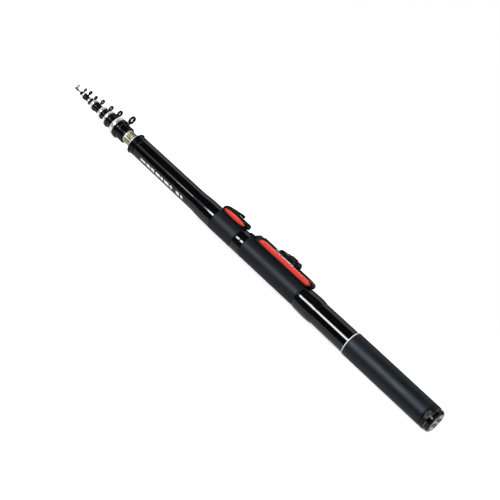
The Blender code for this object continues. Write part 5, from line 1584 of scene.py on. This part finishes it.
# %% [markdown]
# The bright ring ahead of each collar is a full flange whose front face bulges to a round edge.

# %% End rings
RING_RADII = (10.9, 9.1, 7.1, 6.0, 4.5, 3.8)


def make_end_ring(name, radius, bore):
    """Front face: x rises with sin b while the radius shrinks with cos(b)^0.8."""
    low, high = span(name + "_end_ring")
    front = bore + (radius - bore) * 0.55
    length = high - low
    turn = np.linspace(math.pi / 2.0, 0.0, 14)
    x = low + 0.3 * length + 0.7 * length * np.sin(turn)
    bulge = joined(x, front + (radius - front) * np.abs(np.cos(turn)) ** 0.8)
    rear = [(low + 0.12, radius), (low, radius - 0.12), (low, bore), (high, bore)]
    shell = turned(np.concatenate([bulge, rear]))
    make_piece(name + "_bright_ring", [shell], name, "polished_aluminium", name + "_end_ring")


for name, radius, end_radius in zip(SECTION_NAMES, RING_RADII, END_RADII):
    make_end_ring(name, radius, end_radius + SEAT_PLAY)


# %% [markdown]
# The first section carries a drawn aluminium sleeve with fine flutes along it. A plain rim at each
# end is cut bright, and the rear one ends just clear of the mouth's lip as the camera sees it.

# %% Champagne sleeve
CHAMPAGNE = span("section_1_sleeve")
CHAMPAGNE_R = radius_of("section_1_sleeve")
CHAMPAGNE_WALL = 0.6
CHAMPAGNE_FLUTES = 22
CHAMPAGNE_DEPTH = 0.3
MOUTH_GAP = 3.4          # mm from the mouth ring to where the rear rim ends
FRONT_RIM = 1.3
RIMS = (MOUTH_RING[1] + MOUTH_GAP, CHAMPAGNE[1] - FRONT_RIM)
cut_bright(CHAMPAGNE_METAL, *RIMS, "#F4F1EA", (0.9, 0.3), outside=True)


def sleeve_flutes(x, radius, angle):
    """The flutes of the sleeve's outside, between its two plain rims."""
    along = fade_in(x - RIMS[0], 0.3) * fade_in(RIMS[1] - x, 0.3)
    dip = flutes(angle, CHAMPAGNE_FLUTES, CHAMPAGNE_DEPTH)
    return x, np.where(radius > CHAMPAGNE_R - 0.25, radius - dip * along, radius)


def make_champagne_sleeve():
    """A turned tube whose outside sinks into flutes along the rod."""
    profile = sleeve(*CHAMPAGNE, CHAMPAGNE_R, CHAMPAGNE_R - CHAMPAGNE_WALL, 0.15, 40)
    shell = turned(profile, 440, shape=sleeve_flutes)
    make_piece("champagne_sleeve", [shell], "section_1", "champagne_metal", "section_1_sleeve")


make_champagne_sleeve()


# %% [markdown]
# The tip section ends in the tip top, a small closed tube with the last guide on it.

# %% Tip top
TIP_R = 1.3
TIP_BORE = 0.8
TIP_CAP = 0.95           # mm of solid metal ahead of the bore
TIP_LOOP_Z = 3.3
TIP_LOOP = (1.9, 1.5, 0.85)      # outer and inner radius, depth along the rod
TIP_LINING = (1.52, 1.1, 0.7)
TIP_FOOT = ((1.0, 1.8), (1.1, 0.5), (0.9, 0.6))      # heights, half-lengths, half-widths


def make_tip_top():
    """A turned tube closed at its front, and on it a foot, a ring across the rod and its lining."""
    low, high = span("tip_top")
    x = high - 1.9
    profile = [
        (high, 0.0), (high, 0.7 * TIP_R), (high - 0.65, TIP_R), (low, TIP_R), (low, TIP_BORE),
        (high - TIP_CAP, TIP_BORE), (high - TIP_CAP, 0.0),
    ]
    tube = turned(ease(profile, 0.2, 4, closed=False), 64)
    loop = standing_ring(x, TIP_LOOP_Z, *TIP_LOOP, 48)
    shells = [tube, loop, flared_foot(x, *TIP_FOOT)]
    make_piece("tip_top_tube", shells, "section_7", "black_metal", "tip_top", finish=GREY_ANODISED)
    lining = standing_ring(x, TIP_LOOP_Z, *TIP_LINING, 48, LINING_POWER)
    make_piece("tip_top_lining", [lining], "section_7", "guide_ceramic", "tip_top_ring")


make_tip_top()


# %% [markdown]
# The studio. The floor is a white table that shines white to the camera and in reflections, and
# keeps the rod's soft shadow. The room is white too. Light Path tells the rays that see the
# background from those that carry its light to the rod.

# %% Floor and room
FLOOR_GAP = 0.00002       # metres under the rod's lowest point
FLOOR_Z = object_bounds()[0].z - FLOOR_GAP
FLOOR_REACH = 6.0
FLOOR_GLOW = 0.72         # what the camera sees of the table's own white
MIRRORED_GLOW = 0.44      # what reflections see of it
ROOM_LIGHT = 0.42         # what the room sheds on the rod
WHITE = (1.0, 1.0, 1.0, 1.0)


def make_sheet(name, corners, faces, material):
    """A stage object of flat faces."""
    mesh = bpy.data.meshes.new(name)
    mesh.from_pydata(corners, [], faces)
    mesh.materials.append(material)
    sheet = put(name, mesh)
    return sheet


def make_flat(name, x, y, z, material):
    """A level rectangle between two x and two y."""
    corners = [(x[0], y[0], z), (x[1], y[0], z), (x[1], y[1], z), (x[0], y[1], z)]
    return make_sheet(name, corners, [(0, 1, 2, 3)], material)


def bare_material(name):
    """A material without any node yet."""
    material = bpy.data.materials.new(name)
    material.use_nodes = True
    material.node_tree.nodes.clear()
    return material


def lit_and_seen(owner, output, lit, seen):
    """One shader for the rays that carry light, another for camera, glossy and clear rays."""
    path = add(owner, "LightPath").outputs
    direct = add(owner, "Math", [path["Is Camera Ray"], path["Is Glossy Ray"]], operation="MAXIMUM")
    every = add(owner, "Math", [direct, path["Is Transmission Ray"]], operation="MAXIMUM")
    add(owner, output, {"Surface": add(owner, "MixShader", [every, lit, seen])})


def make_floor():
    """Matte white that takes the shadow, with a glow added for the rays that see it."""
    table = bare_material("white_table")
    matte = add(table, "BsdfDiffuse", {"Color": linear("#E6E6E6")})
    seen = add(table, "LightPath").outputs["Is Camera Ray"]
    strength = add(table, "MapRange", {"Value": seen, "To Min": MIRRORED_GLOW, "To Max": FLOOR_GLOW})
    glow = add(table, "Emission", {"Color": WHITE, "Strength": strength})
    lit_and_seen(table, "OutputMaterial", matte, add(table, "AddShader", [matte, glow]))
    reach = (-FLOOR_REACH, FLOOR_REACH)
    make_flat("table", reach, reach, FLOOR_Z, table)


def make_room():
    """Pure white for the rays that see the room, and a weaker white as light for the rod."""
    world = bpy.data.worlds.new("white_room")
    bpy.context.scene.world = world
    world.use_nodes = True
    world.node_tree.nodes.clear()
    light = add(world, "Background", {"Color": WHITE, "Strength": ROOM_LIGHT})
    white = add(world, "Background", {"Color": WHITE, "Strength": 1.0})
    lit_and_seen(world, "OutputWorld", light, white)


make_floor()
make_room()
print("table at", round(FLOOR_Z / MM, 2), "mm")


# %% [markdown]
# A long soft strip stands over the camera and draws the one sharp streak along the lacquer, with
# two short ones past its end, where the streak fades. A broad sun, which gloss doesn't show, lights
# the whole table evenly.

# %% Lights
STRIP_DISTANCE = 1.9
STRIP_ANGLE = 2.6
STRIP_END = 1.235
COOL_WHITE = (0.94, 0.975, 1.0)
SUN_HEIGHT = math.radians(52.0)
SUN_WIDTH = math.radians(65.0)
SIDE = Vector((0.0, BACK.y, BACK.z)).normalized()      # from the rod towards the camera, square to it
OVER = Vector((0.0, -SIDE.z, SIDE.y))


def round_rod(angle):
    """A direction square to the rod: degrees from the camera's side, rising towards the guides."""
    turn = math.radians(angle)
    return SIDE * math.cos(turn) + OVER * math.sin(turn)


def make_strip(name, x, length, width, watts, colour=(1.0, 1.0, 1.0)):
    """A soft strip along the rod that faces it."""
    light = bpy.data.lights.new(name, "AREA")
    light.shape = "RECTANGLE"
    light.size = length
    light.size_y = width
    light.energy = watts
    light.color = colour
    facing = round_rod(STRIP_ANGLE)
    turn = Matrix((ROD, facing.cross(ROD), facing)).transposed()
    place = ROD * x + facing * STRIP_DISTANCE
    put(name, light).matrix_world = Matrix.Translation(place) @ turn.to_4x4()


def make_sun():
    """A very wide sun from above and behind the rod."""
    light = bpy.data.lights.new("sky", "SUN")
    light.energy = 1.0
    light.angle = SUN_WIDTH
    sun = put("sky", light)
    back = Vector((0.0, -math.cos(SUN_HEIGHT), math.sin(SUN_HEIGHT)))
    sun.matrix_world = back.to_track_quat("Z", "Y").to_matrix().to_4x4()
    sun.visible_glossy = False


make_strip("strip", STRIP_END - 0.48, 0.96, 0.58, 36.0, COOL_WHITE)
make_strip("strip_end", STRIP_END + 0.03, 0.06, 0.22, 0.3)
make_strip("strip_far", STRIP_END + 0.08, 0.04, 0.22, 0.06)
make_sun()
print(len(bpy.data.lights), "lights")


# %% [markdown]
# Dark cards, which only reflections see, give the gloss its black as they do in a photographer's
# studio. Two lie beside the rod and the others are bent round it, and pale panels among them draw
# the weaker streaks of the far side.

# %% Cards and panels
CARD_DISTANCE = 3.2
CARD_REACH = (-2.5, 3.5)      # metres along the rod
CARD_OVER_FLOOR = 0.0003
MAT_NEAR, MAT_FAR = 0.019, 3.3      # metres from the rod
BLACK_CARD = new_material(
    "black_card", Base_Color=linear("#050505"), Roughness=1.0, Specular_IOR_Level=0.0
)


def only_reflected(card):
    """Hides a card from every ray but the glossy ones, so that it takes no light from the rod."""
    card.visible_camera = False
    card.visible_diffuse = False
    card.visible_transmission = False
    card.visible_shadow = False


def bent_card(name, start, end, reach=CARD_REACH, paper=BLACK_CARD, folds=13):
    """A card bent round the rod between two angles."""
    directions = [round_rod(float(angle)) for angle in np.linspace(start, end, folds)]
    corners = [tuple(ROD * x + way * CARD_DISTANCE) for way in directions for x in reach]
    faces = grid_faces(folds, 2, wrap_columns=False)
    only_reflected(make_sheet(name, corners, faces, paper))


def white_panel(name, start, end, strength, reach=CARD_REACH):
    """A shining card, a streak of light for the gloss of the far side."""
    paper = bare_material(name + "_white")
    glow = add(paper, "Emission", {"Color": WHITE, "Strength": strength})
    add(paper, "OutputMaterial", {"Surface": glow})
    bent_card(name, start, end, reach, paper, folds=5)


def floor_card(name, reach, side):
    """A card that lies just above the floor on one side of the rod."""
    edges = (side * MAT_NEAR, side * MAT_FAR)
    only_reflected(make_flat(name, reach, edges, FLOOR_Z + CARD_OVER_FLOOR, BLACK_CARD))


bent_card("upper_card", 12.5, 87.0)
bent_card("middle_card", -7.6, -6.6)
floor_card("front_mat", CARD_REACH, 1.0)
floor_card("rear_mat", (0.02, CARD_REACH[1]), -1.0)
white_panel("grey_sky", 103.0, 122.0, 0.5)
white_panel("dark_sky", 122.0, 143.0, 0.26)
bent_card("rear_card", 143.0, 162.0)
white_panel("rear_panel", 162.0, 168.0, 3.0, (-0.9, 1.5))
bent_card("low_rear_card", 168.0, 174.5)
print("cards from", CARD_REACH[0], "to", CARD_REACH[1], "m along the rod")
